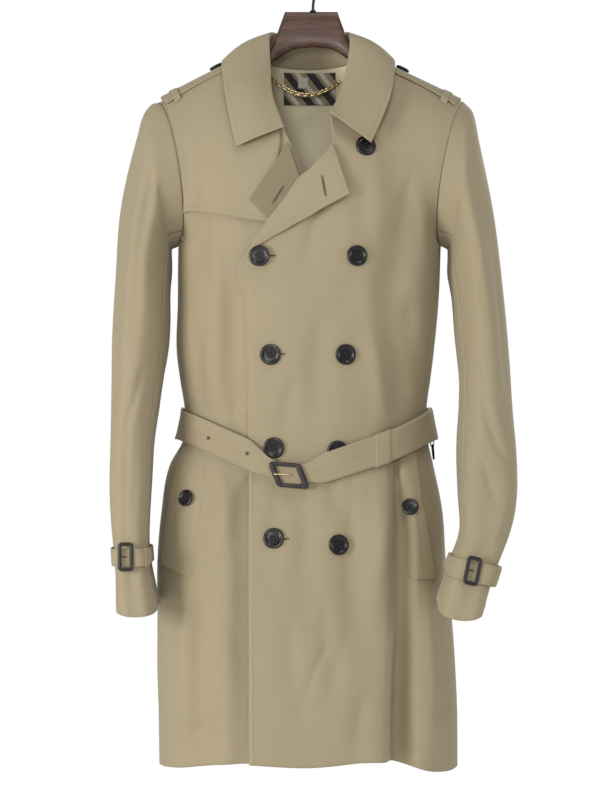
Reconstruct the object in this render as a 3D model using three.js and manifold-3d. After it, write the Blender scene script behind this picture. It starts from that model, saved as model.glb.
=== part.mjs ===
// A double-breasted trench coat hanging on a wooden hanger.
// Millimetres, +Z up. The origin is the inside of the hook, where it rests on its rail.
// The front faces -Y and +X is on a viewer's right, so +X is the wearer's left.
import * as THREE from 'three';
import { mergeVertices } from 'three/addons/utils/BufferGeometryUtils.js';
import Module from 'manifold-3d';

const wasm = await Module();
wasm.setup();

// Cloth thicknesses and the gaps between sewn pieces
const CLOTH = 1.6;
const DOUBLED_CLOTH = 2.2;
const SEAM_GAP = 0.35;

// Heights of the coat's levels
const SHOULDER_Z = -190;
const UNDERARM_Z = -390;
const WAIST_Z = -643;
const HEM_Z = -1112;

// The body's section is an ellipse filled out a little towards its corners
const SIDE_Y = 4;
const FULLNESS = 0.06;
const PINCH_REACH = 140;

// Share of each panel's width that the neck takes from the middle
const NECK_SHARE = 0.42;

// Belt and cuff straps
const BELT_WIDTH = 41;
const BELT_AT_BUCKLE = 27;
const BELT_LIFT = 7.6;
const BELT_TAIL_LIFT = 11;
const BELT_CLOTH = 2.4;
const STRAP_WIDTH = 27;
const STRAP_LIFT = 3.8;
const STRAP_TAIL_LIFT = 6.8;
const STRAP_CLOTH = 2;

// Buttons: diameter and thickness
const MAIN_BUTTON = { radius: 14.2, thickness: 4.2 };
const POCKET_BUTTON = { radius: 11.5, thickness: 3.6 };
const SHOULDER_BUTTON = { radius: 10.2, thickness: 3.4 };

const MATERIALS = {
  gabardine: new THREE.MeshStandardMaterial({ color: 0xb0a380, roughness: 0.85 }),
  lining: new THREE.MeshStandardMaterial({ color: 0x9a9070, roughness: 0.8 }),
  patch: new THREE.MeshStandardMaterial({ color: 0x5b574e, roughness: 0.85 }),
  horn: new THREE.MeshStandardMaterial({ color: 0x1e1b1e, roughness: 0.35 }),
  leather: new THREE.MeshStandardMaterial({ color: 0x2c1f1a, roughness: 0.5 }),
  wood: new THREE.MeshStandardMaterial({ color: 0x4a3220, roughness: 0.45 }),
  steel: new THREE.MeshStandardMaterial({ color: 0x2b2a2a, roughness: 0.4, metalness: 0.9 }),
  brass: new THREE.MeshStandardMaterial({ color: 0xb99b52, roughness: 0.35, metalness: 1 }),
};

const lerp = (from, to, share) => from + (to - from) * share;
const clamp = (value, low, high) => Math.min(Math.max(value, low), high);
const point = (x, y, z) => new THREE.Vector3(x, y, z);

function ease(from, to, value) {
  const share = clamp((value - from) / (to - from), 0, 1);
  return share * share * (3 - 2 * share);
}

// A table's columns as smooth curves: chart(columns, rows)(column, at), where the first column is the key
function chart(columns, rows) {
  const sorted = [...rows].sort((one, other) => one[0] - other[0]);
  const keys = sorted.map((row) => row[0]);
  const last = keys.length - 1;
  const rise = (column, i) => (sorted[i + 1][column] - sorted[i][column]) / (keys[i + 1] - keys[i]);
  const slope = (column, i) => {
    if (i === 0) return rise(column, 0);
    if (i === last) return rise(column, last - 1);
    return (rise(column, i - 1) + rise(column, i)) / 2;
  };
  return (name, at) => {
    const column = columns.indexOf(name);
    const place = clamp(at, keys[0], keys[last]);
    let i = 0;
    while (i < last - 1 && place > keys[i + 1]) i += 1;
    const span = keys[i + 1] - keys[i];
    const u = (place - keys[i]) / span;
    const start = sorted[i][column];
    const bend = 3 * (sorted[i + 1][column] - start) - span * (2 * slope(column, i) + slope(column, i + 1));
    const twist = span * (slope(column, i) + slope(column, i + 1)) - 2 * (sorted[i + 1][column] - start);
    return start + u * (span * slope(column, i) + u * (bend + u * twist));
  };
}

// Body sections below the underarm: the silhouette's x at each side and the y of front and back
const bodySection = chart(['z', 'left', 'right', 'front', 'back'], [
  [-390, -189, 180, -108, 98],
  [-467, -190, 177, -109, 98],
  [-539, -192, 170, -108, 95],
  [-580, -187, 165, -101, 90],
  [-618, -181, 160, -93, 83],
  [-643, -180, 160, -92, 82],
  [-668, -184, 162, -94, 84],
  [-699, -201, 169, -104, 91],
  [-765, -213, 182, -118, 100],
  [-833, -219, 187, -122, 104],
  [-909, -219, 195, -124, 108],
  [-981, -219, 200, -126, 111],
  [-1050, -217, 202, -128, 114],
  [-1125, -216, 203, -128, 115],
]);

// The belt's middle line, by x across the front and across the back
const beltFront = chart(['x', 'z'], [
  [-181, -645],
  [-145, -661],
  [-90, -681],
  [-35, -703],
  [3, -704],
  [59, -687],
  [115, -667],
  [160, -645],
]);
const beltBack = chart(['x', 'z'], [
  [-181, -645],
  [-100, -634],
  [-10, -630],
  [90, -634],
  [160, -645],
]);

// Height of the hem along the front and along the back, by share of the panel's width
const hemFront = chart(['p', 'z'], [
  [-1, -1119],
  [-0.6, -1112],
  [-0.3, -1101],
  [0, -1104],
  [0.25, -1098],
  [0.37, -1101],
  [0.55, -1116],
  [1, -1119],
]);
const hemBack = chart(['p', 'z'], [
  [-1, -1119],
  [-0.5, -1113],
  [0, -1110],
  [0.5, -1113],
  [1, -1119],
]);

// Valleys pressed into the cloth: face is -1 at the front and 1 at the back
const VALLEY_COLUMNS = [
  'face', 'topX', 'topZ', 'footX', 'footZ', 'topReach', 'footReach', 'topDepth', 'footDepth',
];
const VALLEYS = [
  [-1, -112, -430, -116, -640, 30, 26, 7, 9],
  [-1, 98, -350, 118, -640, 40, 28, 9, 12],
  [-1, -113, -710, -118, -1400, 21, 30, 9, 20],
  [-1, 111, -690, 113, -1200, 17, 30, 9, 40],
  [1, -84, -420, -62, -625, 34, 24, 7, 9],
  [1, 96, -400, 64, -620, 36, 26, 8, 10],
  [1, -92, -690, -118, -1380, 22, 44, 8, 26],
  [1, 70, -700, 92, -1380, 24, 46, 9, 24],
].map((row) => Object.fromEntries(VALLEY_COLUMNS.map((name, i) => [name, row[i]])));
const VALLEY_FADE = 0.22;

// Upper body: where each armhole and the neck are. lean moves the armhole's middle towards the chest
const SIDES = {
  right: {
    sign: -1,
    shoulder: point(-218, 0, SHOULDER_Z),
    under: point(-189, SIDE_Y, UNDERARM_Z),
    neck: point(-84, 4, -121),
  },
  left: {
    sign: 1,
    shoulder: point(214, 0, SHOULDER_Z),
    under: point(180, SIDE_Y, UNDERARM_Z),
    neck: point(70, 4, -121),
  },
};
const ARMHOLE = { front: 72, back: 62, frontLean: 20, backLean: 12 };
const NECK_FRONT = point(-7, -88, -222);
const NECK_BACK = point(-7, 58, -133);
const sideOf = (p) => (p < 0 ? SIDES.right : SIDES.left);

// A point of an armhole: angle 0 at the shoulder, half a turn at the underarm; a positive sine is in front
function armhole(side, angle) {
  const place = side.under.clone().lerp(side.shoulder, (1 + Math.cos(angle)) / 2);
  const ahead = Math.sin(angle);
  place.y -= ahead * (ahead > 0 ? ARMHOLE.front : ARMHOLE.back);
  place.x -= side.sign * Math.abs(ahead) * (ahead > 0 ? ARMHOLE.frontLean : ARMHOLE.backLean);
  return place;
}

function sectionPoint(p, face, level) {
  const angle = (p * Math.PI) / 2;
  const left = bodySection('left', level);
  const right = bodySection('right', level);
  const depth = bodySection(face < 0 ? 'front' : 'back', level);
  const full = 1 + FULLNESS * Math.sin(2 * angle) ** 2;
  const x = (left + right) / 2 + ((right - left) / 2) * Math.sin(angle) * full;
  const y = SIDE_Y + (depth - SIDE_Y) * Math.cos(angle) * full;
  return { x, y };
}

function beltHeight(p, face) {
  const x = sectionPoint(p, face, WAIST_Z).x;
  return (face < 0 ? beltFront : beltBack)('z', x);
}

// Lower body: each section is moved up or down so that the narrowest one follows the belt
function lowerBody(p, face, z) {
  const belt = beltHeight(p, face);
  const level = z - (belt - WAIST_Z) * Math.exp(-(((z - belt) / PINCH_REACH) ** 2));
  const place = sectionPoint(p, face, Math.min(level, UNDERARM_Z));
  return point(place.x, place.y, z);
}

// The seam that ends a panel at its top: the neckline in the middle, then the shoulder
function topSeam(p, face) {
  const side = sideOf(p);
  const middle = face < 0 ? NECK_FRONT : NECK_BACK;
  const share = Math.abs(p);
  if (share >= NECK_SHARE) {
    return side.neck.clone().lerp(side.shoulder, (share - NECK_SHARE) / (1 - NECK_SHARE));
  }
  const turn = ((share / NECK_SHARE) * Math.PI) / 2;
  return point(
    middle.x + (side.neck.x - middle.x) * Math.sin(turn),
    side.neck.y + (middle.y - side.neck.y) * Math.cos(turn),
    side.neck.z + (middle.z - side.neck.z) * Math.cos(turn),
  );
}

// Upper body: rise is 0 at the underarm and 1 at the neck and shoulder seams
function upperBody(p, face, rise) {
  const side = sideOf(p);
  const share = Math.abs(p);
  const angle = (share * Math.PI) / 2;
  const full = 1 + FULLNESS * Math.sin(2 * angle) ** 2;
  const edge = armhole(side, Math.PI * (1 - rise) * (face < 0 ? 1 : -1));
  const base = sectionPoint(0, face, UNDERARM_Z);
  const neck = face < 0 ? NECK_FRONT : NECK_BACK;
  const middle = point(base.x, base.y, UNDERARM_Z).lerp(neck, rise);
  const across = lerp(Math.sin(angle) * full, share, rise);
  const out = lerp(Math.cos(angle) * full, 1 - share * share, rise);
  const chest = point(
    lerp(middle.x, edge.x, across),
    lerp(edge.y, middle.y, out),
    lerp(middle.z, edge.z, share * share),
  );
  const seam = topSeam(p, face)
    .add(edge.clone().sub(side.shoulder).multiplyScalar(share ** 3))
    .add(middle.clone().sub(neck).multiplyScalar((1 - share) ** 2));
  const forward = rise ** 2.6;
  const upward = Math.sin((Math.PI / 2) * rise ** 1.3) ** 2;
  return point(
    lerp(chest.x, seam.x, forward),
    lerp(chest.y, seam.y, forward),
    lerp(chest.z, seam.z, upward),
  );
}

function valleyDepth(x, z, face) {
  let depth = 0;
  for (const fold of VALLEYS) {
    const along = (fold.topZ - z) / (fold.topZ - fold.footZ);
    if (fold.face !== face || along <= 0 || along >= 1) continue;
    const off = (x - lerp(fold.topX, fold.footX, along)) / lerp(fold.topReach, fold.footReach, along);
    if (Math.abs(off) >= 1) continue;
    const fade = ease(0, VALLEY_FADE, along) * ease(1, 1 - VALLEY_FADE, along);
    depth += lerp(fold.topDepth, fold.footDepth, along) * fade * (1 - off * off) ** 2;
  }
  return depth;
}

// The body's outer surface. height is z up to the underarm, and above it a nominal level up to SHOULDER_Z
function body(p, face, height) {
  let share = p;
  let side = face;
  const isLower = height <= UNDERARM_Z;
  if (isLower && Math.abs(p) > 1) {
    share = Math.sign(p) * 2 - p;
    side = -face;
  }
  share = clamp(share, -1, 1);
  const rise = clamp((height - UNDERARM_Z) / (SHOULDER_Z - UNDERARM_Z), 0, 1);
  const place = isLower ? lowerBody(share, side, height) : upperBody(share, side, rise);
  const angle = (share * Math.PI) / 2;
  const depth = valleyDepth(place.x, place.z, side);
  place.x -= depth * Math.sin(angle) * 0.5;
  place.y -= depth * side * Math.cos(angle * 0.7);
  return place;
}

const STEP = 1e-3;
function normalOf(form, u, v, stepU = STEP, stepV = STEP) {
  const along = form(u + stepU, v).sub(form(u - stepU, v));
  const up = form(u, v + stepV).sub(form(u, v - stepV));
  return along.cross(up).normalize();
}

// A point of the front at x and z, as share and height on the panel
function onFront(x, z) {
  let p = clamp((x + 5) / 190, -0.97, 0.97) * 0.8;
  let height = clamp(z, HEM_Z - 20, SHOULDER_Z - 1);
  for (let turn = 0; turn < 40; turn += 1) {
    const here = body(p, -1, height);
    const alongP = body(p + STEP, -1, height).sub(here).divideScalar(STEP);
    const alongH = body(p, -1, height - STEP).sub(here).divideScalar(-STEP);
    const missX = x - here.x;
    const missZ = z - here.z;
    const spread = alongP.x * alongH.z - alongH.x * alongP.z;
    const stepP = clamp((missX * alongH.z - alongH.x * missZ) / spread, -0.15, 0.15);
    const stepHeight = clamp((alongP.x * missZ - missX * alongP.z) / spread, -30, 30);
    p = clamp(p + stepP, -0.999, 0.999);
    height = clamp(height + stepHeight, HEM_Z - 20, SHOULDER_Z);
  }
  return { p, height };
}

const frontForm = (p, height) => body(p, -1, height);

// A place on the front, moved out by lift, with the way out of the cloth there
function frontFrame(x, z, lift) {
  const { p, height } = onFront(x, z);
  const normal = normalOf(frontForm, p, height, STEP, 0.5);
  return { place: frontForm(p, height).addScaledVector(normal, lift), normal };
}

// The wearer's left front lies on the right one, and stands off it at the roll of its lapel
const OVERLAP_LIFT = CLOTH + 1.4;
const ROLL_LIFT = 5.8;
function topLift(x, z) {
  const across = ease(118, 80, x) * ease(-212, -262, z);
  const roll = ease(-460, -420, z) * ease(-236, -290, z);
  return across * (OVERLAP_LIFT + ROLL_LIFT * roll);
}

// The right front sinks a little where the left one covers it
const UNDER_SINK = 1.2;
const underLift = (x, z) => -UNDER_SINK * ease(-104, -78, x) * ease(-212, -262, z);

// Free edges of the fronts, from the neck down: x and z as seen from the front
const LEFT_FRONT_EDGE = [
  [23, -213],
  [24, -258],
  [-12, -300],
  [-36, -329],
  [-61, -363],
  [-86, -404],
  [-101, -426],
  [-95, -480],
  [-94, -546],
  [-90, -623],
  [-87, -707],
  [-87, -823],
  [-85, -1125],
];
const RIGHT_FRONT_EDGE = [
  [-60, -195],
  [-41, -236],
  [-29, -261],
  [-14, -298],
  [22, -355],
  [60, -395],
  [83, -424],
  [78, -545],
  [73, -707],
  [71, -1125],
];
function edgeChart(points) {
  const rows = points.map(([x, z]) => {
    const { p, height } = onFront(x, z);
    return [height, p];
  });
  rows[0][0] = SHOULDER_Z;
  return chart(['height', 'p'], rows);
}
const leftFrontEdge = edgeChart(LEFT_FRONT_EDGE);
const rightFrontEdge = edgeChart(RIGHT_FRONT_EDGE);

// Heights of a body panel's rows of points, from the hem up; the lowest follow the hem's own line
const PANEL_HEIGHTS = [
  HEM_Z, -1030, -940, -860, -800, -750, -714, -686, -664, -640, -612, -570, -510, -450, UNDERARM_Z,
  -364, -336, -308, -280, -256, -236, -220, -208, -198, SHOULDER_Z,
];
const HEM_REACH = 120;
function hemmed(height, p, face) {
  const hem = (face < 0 ? hemFront : hemBack)('z', p);
  return height + (hem - HEM_Z) * clamp(1 - (height - HEM_Z) / HEM_REACH, 0, 1);
}

// A closed wall between a grid of outer points and the same grid moved inwards.
// rim(i, j) may return the direction in which the wall goes inwards at an edge that meets another piece.
function wallGeometry(points, normals, thickness, { closed = false, rim = () => null } = {}) {
  const rows = points.length;
  const columns = points[0].length;
  const outer = [];
  const inner = [];
  for (let i = 0; i < rows; i += 1) {
    for (let j = 0; j < columns; j += 1) {
      const inward = rim(i, j) ?? normals[i][j].clone().negate();
      outer.push(points[i][j]);
      inner.push(points[i][j].clone().addScaledVector(inward, thickness));
    }
  }
  const place = (i, j) => i * columns + (j % columns);
  const count = rows * columns;
  const faces = [];
  const quad = (a, b, c, d) => faces.push(a, b, c, a, c, d);
  const spans = closed ? columns : columns - 1;
  for (let i = 0; i < rows - 1; i += 1) {
    for (let j = 0; j < spans; j += 1) {
      const [a, b, c, d] = [place(i, j), place(i, j + 1), place(i + 1, j + 1), place(i + 1, j)];
      quad(a, b, c, d);
      quad(d + count, c + count, b + count, a + count);
    }
  }
  for (let j = 0; j < spans; j += 1) {
    const [a, b] = [place(0, j), place(0, j + 1)];
    const [c, d] = [place(rows - 1, j), place(rows - 1, j + 1)];
    quad(a, a + count, b + count, b);
    quad(d, d + count, c + count, c);
  }
  for (let i = 0; i < rows - 1 && !closed; i += 1) {
    const [a, b] = [place(i, 0), place(i + 1, 0)];
    const [c, d] = [place(i, columns - 1), place(i + 1, columns - 1)];
    quad(b, b + count, a + count, a);
    quad(c, c + count, d + count, d);
  }
  const geometry = new THREE.BufferGeometry();
  geometry.setAttribute('position', positions([...outer, ...inner]));
  geometry.setIndex(faces);
  return facedOutwards(geometry);
}

function positions(places) {
  return new THREE.Float32BufferAttribute(places.flatMap((place) => place.toArray()), 3);
}

// Signed volume tells whether the faces point out; if not, they are turned round
function facedOutwards(geometry) {
  const position = geometry.getAttribute('position');
  const index = geometry.getIndex().array;
  const [a, b, c] = [point(0, 0, 0), point(0, 0, 0), point(0, 0, 0)];
  let volume = 0;
  for (let i = 0; i < index.length; i += 3) {
    a.fromBufferAttribute(position, index[i]);
    b.fromBufferAttribute(position, index[i + 1]);
    c.fromBufferAttribute(position, index[i + 2]);
    volume += a.dot(b.cross(c));
  }
  if (volume < 0) {
    const turned = Array.from(index);
    for (let i = 0; i < turned.length; i += 3) [turned[i], turned[i + 1]] = [turned[i + 1], turned[i]];
    geometry.setIndex(turned);
  }
  return geometry;
}

// A wall on form(u, v): us and vs are the grid's stops, and outward is 1 or -1 for the normal's sense
function sheet(form, us, vs, thickness, { outward = 1, steps = [STEP, STEP], ...options } = {}) {
  const points = vs.map((v) => us.map((u) => form(u, v)));
  const normals = vs.map((v) => us.map((u) => normalOf(form, u, v, ...steps).multiplyScalar(outward)));
  return wallGeometry(points, normals, thickness, options);
}

const stops = (from, to, count) => Array.from({ length: count + 1 }, (_, i) => lerp(from, to, i / count));

const coat = new THREE.Group();
function add(name, geometry, material) {
  const mesh = new THREE.Mesh(geometry, material);
  mesh.name = name;
  coat.add(mesh);
  return mesh;
}

// Directions in which the body's walls go inwards at the armholes and at the top seam
function armholeInward(side, place) {
  const middle = side.under.clone().lerp(side.shoulder, 0.5);
  return middle.sub(place).normalize();
}
const SEAM_INWARD = point(0, 0, -1);

// One body panel between two edges given as p(height)
function bodyPanel(face, edgeFrom, edgeTo, columnStops, lift) {
  const form = (u, height) => {
    const p = lerp(edgeFrom(height), edgeTo(height), u);
    return body(p, face, height);
  };
  const lifted = (u, v) => {
    const share = lerp(edgeFrom(PANEL_HEIGHTS[v]), edgeTo(PANEL_HEIGHTS[v]), u);
    const height = hemmed(PANEL_HEIGHTS[v], share, face);
    const place = form(u, height);
    const outward = normalOf(form, u, height, STEP, 0.5).multiplyScalar(-face);
    return place.addScaledVector(outward, lift(place.x, place.z));
  };
  const rows = PANEL_HEIGHTS.map((_, v) => v);
  const points = rows.map((v) => columnStops.map((u) => lifted(u, v)));
  const outwardAt = (u, height) => normalOf(form, u, height, STEP, 0.5).multiplyScalar(-face);
  const normals = PANEL_HEIGHTS.map((height) => columnStops.map((u) => outwardAt(u, height)));
  const rim = (i, j) => {
    const p = lerp(edgeFrom(PANEL_HEIGHTS[i]), edgeTo(PANEL_HEIGHTS[i]), columnStops[j]);
    const atTop = i === rows.length - 1 && Math.abs(p) >= NECK_SHARE;
    const atArmhole = Math.abs(p) > 0.99 && PANEL_HEIGHTS[i] > UNDERARM_Z;
    if (!atTop && !atArmhole) return null;
    const inward = atArmhole ? armholeInward(sideOf(p), points[i][j]) : point(0, 0, 0);
    return (atTop ? inward.add(SEAM_INWARD) : inward).normalize();
  };
  return wallGeometry(points, normals, CLOTH, { rim });
}

// The panels end just short of the side seams and of the centre back seam
const SIDE_EDGE = 1 - 0.0018;
const CENTRE_EDGE = 0.0012;

// Shares of each panel's width at which it has a column of points
const COLUMN_STOPS = {
  leftFront: [0, 0.07, 0.15, 0.24, 0.33, 0.4, 0.44, 0.47, 0.5, 0.53, 0.57, 0.63, 0.72, 0.82, 0.91, 1],
  rightFront: [0, 0.1, 0.2, 0.29, 0.35, 0.4, 0.44, 0.48, 0.52, 0.56, 0.66, 0.77, 0.88, 1],
  leftBack: [0, 0.16, 0.27, 0.37, 0.47, 0.58, 0.71, 0.86, 1],
};
COLUMN_STOPS.rightBack = COLUMN_STOPS.leftBack.map((share) => 1 - share).reverse();
const BODY_PANELS = [
  {
    name: 'left_front',
    face: -1,
    from: (height) => leftFrontEdge('p', height),
    to: () => SIDE_EDGE,
    columns: COLUMN_STOPS.leftFront,
    lift: topLift,
  },
  {
    name: 'right_front',
    face: -1,
    from: () => -SIDE_EDGE,
    to: (height) => rightFrontEdge('p', height),
    columns: COLUMN_STOPS.rightFront,
    lift: underLift,
  },
  {
    name: 'right_back',
    face: 1,
    from: () => -SIDE_EDGE,
    to: () => -CENTRE_EDGE,
    columns: COLUMN_STOPS.rightBack,
    lift: () => 0,
  },
  {
    name: 'left_back',
    face: 1,
    from: () => CENTRE_EDGE,
    to: () => SIDE_EDGE,
    columns: COLUMN_STOPS.leftBack,
    lift: () => 0,
  },
];
for (const { name, face, from, to, columns, lift } of BODY_PANELS) {
  add(name, bodyPanel(face, from, to, columns, lift), MATERIALS.gabardine);
}

// Sleeves: rows run from the armhole to the cuff. The outer and inner points are the silhouette's
const SLEEVE_COLUMNS = ['row', 'outerX', 'outerZ', 'innerX', 'innerZ', 'midY', 'front', 'back', 'lean'];
const SLEEVE_ROWS = {
  right: [
    [0, -218, -190, -189, -390, 2, 72, 62, 15],
    [1, -238, -206, -199, -397, -2, 74, 64, 7],
    [2, -248, -240, -200, -410, -6, 75, 66, 6],
    [3, -260, -295, -199, -434, -11, 75, 67, 3],
    [4, -270, -360, -199, -464, -17, 74, 68, 0],
    [5, -276, -440, -199, -505, -24, 72, 68, 0],
    [6, -280, -520, -202, -556, -31, 70, 68, 0],
    [7, -280, -600, -212, -612, -40, 68, 67, 0],
    [8, -279, -668, -221, -664, -52, 66, 65, 0],
    [9, -278, -724, -224, -720, -62, 63, 62, 0],
    [10, -274, -781, -226, -781, -72, 60, 60, 0],
    [11, -270, -827, -224, -827, -80, 57, 57, 0],
    [12, -266, -889, -223, -889, -86, 57, 57, 0],
  ],
  left: [
    [0, 214, -190, 180, -390, 2, 72, 62, 15],
    [1, 226, -206, 190, -398, -2, 74, 64, 7],
    [2, 234, -245, 191, -413, -6, 75, 66, 6],
    [3, 243, -298, 190, -438, -11, 75, 67, 3],
    [4, 254, -368, 193, -470, -18, 74, 68, 0],
    [5, 265, -455, 197, -520, -27, 72, 68, 0],
    [6, 272, -540, 201, -572, -36, 70, 67, 0],
    [7, 276, -620, 200, -618, -46, 68, 65, 0],
    [8, 279, -684, 199, -682, -60, 66, 62, 0],
    [9, 276, -738, 200, -738, -76, 62, 58, 0],
    [10, 265, -786, 200, -786, -92, 58, 54, 0],
    [11, 243, -842, 185, -828, -108, 54, 50, 0],
    [12, 229, -876, 170, -880, -120, 56, 50, 0],
  ],
};
const SLEEVE_FLATNESS = 0.08;
const sleeveChart = {
  right: chart(SLEEVE_COLUMNS, SLEEVE_ROWS.right),
  left: chart(SLEEVE_COLUMNS, SLEEVE_ROWS.left),
};

// A sleeve's outer surface: angle 0 is its outer line, a quarter turn its front
function sleeve(name, row, angle) {
  const at = (column) => sleeveChart[name](column, row);
  const ahead = Math.sin(angle);
  const full = 1 - SLEEVE_FLATNESS * Math.sin(2 * angle) ** 2 * ease(0, 3, row);
  const share = (1 + Math.cos(angle) * full) / 2;
  const depth = ahead > 0 ? at('front') : at('back');
  const lean = row < 0.001 ? 0 : at('lean');
  const { sign } = SIDES[name];
  const first = ease(1, 0, row);
  const midY = lerp(at('midY'), lerp(SIDE_Y, 0, share), first);
  const leanHere = lerp(lean, ahead > 0 ? ARMHOLE.frontLean : ARMHOLE.backLean, first);
  return point(
    lerp(at('innerX'), at('outerX'), share) - sign * Math.abs(ahead) * leanHere,
    midY - ahead * depth * full,
    lerp(at('innerZ'), at('outerZ'), share),
  );
}

// Each sleeve is cut as an upper and an under piece, with seams along its front and back
const SLEEVE_START = 0.075;
const SLEEVE_STOPS = [SLEEVE_START, 0.5, 1.1, 2, 3.2, 4.5, 5.8, 7, 8.2, 9.4, 10.5, 11.25, 12];
const FRONT_SEAM = 2.05;
const BACK_SEAM = -1.75;
const SEAM_ANGLE = 0.004;
const SLEEVE_PIECES = [
  { part: 'upper', from: BACK_SEAM + SEAM_ANGLE, to: FRONT_SEAM - SEAM_ANGLE, count: 10 },
  { part: 'under', from: FRONT_SEAM + SEAM_ANGLE, to: BACK_SEAM + 2 * Math.PI - SEAM_ANGLE, count: 7 },
];
for (const name of ['right', 'left']) {
  const { sign } = SIDES[name];
  for (const piece of SLEEVE_PIECES) {
    const form = (angle, row) => sleeve(name, row, angle);
    const us = stops(piece.from, piece.to, piece.count);
    const rim = (i, j) => (i > 0 ? null : armholeInward(SIDES[name], form(us[j], 0)));
    const geometry = sheet(form, us, SLEEVE_STOPS, CLOTH, { outward: sign, rim });
    add(`${name}_sleeve_${piece.part}`, geometry, MATERIALS.gabardine);
  }
}

// A line through points in turn, by share of its length
function polyline(points) {
  const lengths = points.slice(1).map((to, i) => Math.hypot(...to.map((value, k) => value - points[i][k])));
  const total = lengths.reduce((sum, length) => sum + length, 0);
  return (share) => {
    let rest = clamp(share, 0, 1) * total;
    let i = 0;
    while (i < lengths.length - 1 && rest > lengths[i]) {
      rest -= lengths[i];
      i += 1;
    }
    return points[i].map((value, k) => lerp(value, points[i + 1][k], rest / lengths[i]));
  };
}

// A patch that lies on the front between two lines seen from the front, lifted by lift(x, z, u, v)
function frontPatch(name, { from, to, columns, rows = 3, thickness, lift }) {
  const [lineFrom, lineTo] = [polyline(from), polyline(to)];
  const [us, vs] = [stops(0, 1, columns), stops(0, 1, rows)];
  const form = (u, v) => {
    const [start, end] = [lineFrom(u), lineTo(u)];
    const [x, z] = [lerp(start[0], end[0], v), lerp(start[1], end[1], v)];
    return frontFrame(x, z, lift(x, z, u, v)).place;
  };
  const points = vs.map((v) => us.map((u) => form(u, v)));
  const normals = points.map((row) => row.map((place) => frontFrame(place.x, place.z, 0).normal));
  return add(name, wallGeometry(points, normals, thickness), MATERIALS.gabardine);
}

// Right chest flap: from the armhole and shoulder seam down to a straight edge
const FLAP_CLOTH = 1.6;
const FLAP_LIFT = FLAP_CLOTH + 1.5;
const FLAP_STOPS = [0, 0.16, 0.32, 0.46, 0.58, 0.69, 0.78, 0.86, 0.93, 1];
const FLAP_BOTTOM = { armhole: [-181, -354], centre: [-60, -367] };
const FLAP_FRONT = chart(['height', 'p'], [
  onFrontRow(-60, -367),
  onFrontRow(-51, -300),
  onFrontRow(-46, -240),
  [SHOULDER_Z - 5, -0.235],
]);
function onFrontRow(x, z) {
  const { p, height } = onFront(x, z);
  return [height, p];
}
{
  const low = { armhole: onFront(...FLAP_BOTTOM.armhole), centre: onFront(...FLAP_BOTTOM.centre) };
  const heights = [null, ...PANEL_HEIGHTS.filter((height) => height > low.armhole.height + 8)];
  const top = SHOULDER_Z - 5;
  const form = (u, v) => {
    const bottom = lerp(low.armhole.height, low.centre.height, u);
    const row = Math.floor(v);
    const height = lerp(row < 1 ? bottom : heights[row], heights[row + 1] ?? top, v % 1);
    const p = lerp(-0.983, FLAP_FRONT('p', height), u);
    const outward = normalOf(frontForm, p, height, STEP, 0.5);
    return frontForm(p, Math.min(height, top)).addScaledVector(outward, FLAP_LIFT);
  };
  const geometry = sheet(form, FLAP_STOPS, stops(0, heights.length - 1, heights.length - 1), FLAP_CLOTH);
  add('storm_flap', geometry, MATERIALS.gabardine);
}

// Lapels: each is folded back along its roll line, where it starts, and ends at its free edge
const LAPEL_CLOTH = DOUBLED_CLOTH;
const LAPEL_GAP = 0.7;
const LEFT_LAPEL = {
  from: [[26, -262], [-9, -302], [-33, -331], [-58, -365], [-82, -406]],
  to: [[47.7, -331], [9, -352.7], [-13, -365], [-45.5, -384], [-60.7, -392], [-77, -402]],
  columns: 9,
  tipLift: 7,
  bulge: 4,
};
const RIGHT_LAPEL = {
  from: [[-34, -256], [-20, -300], [16, -354], [44, -385]],
  to: [[-86, -335], [-60, -364], [-20, -378], [34, -396]],
  columns: 8,
  tipLift: 1,
  bulge: 0.6,
};
const leftLapelLift = (x, z, u, v) => {
  const rise = LEFT_LAPEL.bulge * Math.sin(Math.PI * v) + LEFT_LAPEL.tipLift * v * v * (1 - u);
  return topLift(x, z) + LAPEL_CLOTH + LAPEL_GAP + rise * (1 - u * 0.7);
};
const rightLapelLift = (x, z, u, v) => {
  const rise = RIGHT_LAPEL.bulge * Math.sin(Math.PI * v) + RIGHT_LAPEL.tipLift * v * v * (1 - u);
  return FLAP_LIFT + LAPEL_CLOTH + LAPEL_GAP - 0.3 + rise * (1 - u);
};
frontPatch('left_lapel', { ...LEFT_LAPEL, thickness: LAPEL_CLOTH, lift: leftLapelLift });
frontPatch('right_lapel', { ...RIGHT_LAPEL, thickness: LAPEL_CLOTH, lift: rightLapelLift });

// Collar: stations go round the neck from the right front end to the left one.
// Each has a point on the fold, one on the outer edge, and the share p of the neck seam below it.
const COLLAR = chart(['station', 'foldX', 'foldY', 'foldZ', 'edgeX', 'edgeY', 'edgeZ'], [
  [0, -41.5, -95, -236, -106, -93, -262],
  [1, -57.6, -66, -187, -116, -79, -216],
  [2, -60, -36, -145, -124, -59, -172],
  [3, -63, -4, -95, -128, -8, -130],
  [4, -54, 34, -86, -116, 37, -142],
  [5, -34, 54, -87, -68, 64, -162],
  [6, -7, 60, -88, -7, 75, -170],
  [7, 20, 54, -87, 54, 64, -162],
  [8, 42, 34, -86, 102, 37, -142],
  [9, 54, -4, -95, 114, -8, -128],
  [10, 47, -36, -147, 111, -59, -170],
  [11, 36, -68, -190, 100, -83, -209],
  [12, 23, -95, -216, 79, -100, -258],
]);
const NECK_SEAM = chart(['station', 'p', 'face'], [
  [1, -0.265, -1],
  [2, -0.35, -1],
  [3, -0.42, 0],
  [4, -0.3, 1],
  [5, -0.15, 1],
  [6, 0, 1],
  [7, 0.15, 1],
  [8, 0.3, 1],
  [9, 0.42, 0],
  [10, 0.35, -1],
  [11, 0.24, -1],
]);
const COLLAR_BULGE = 7;
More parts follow.
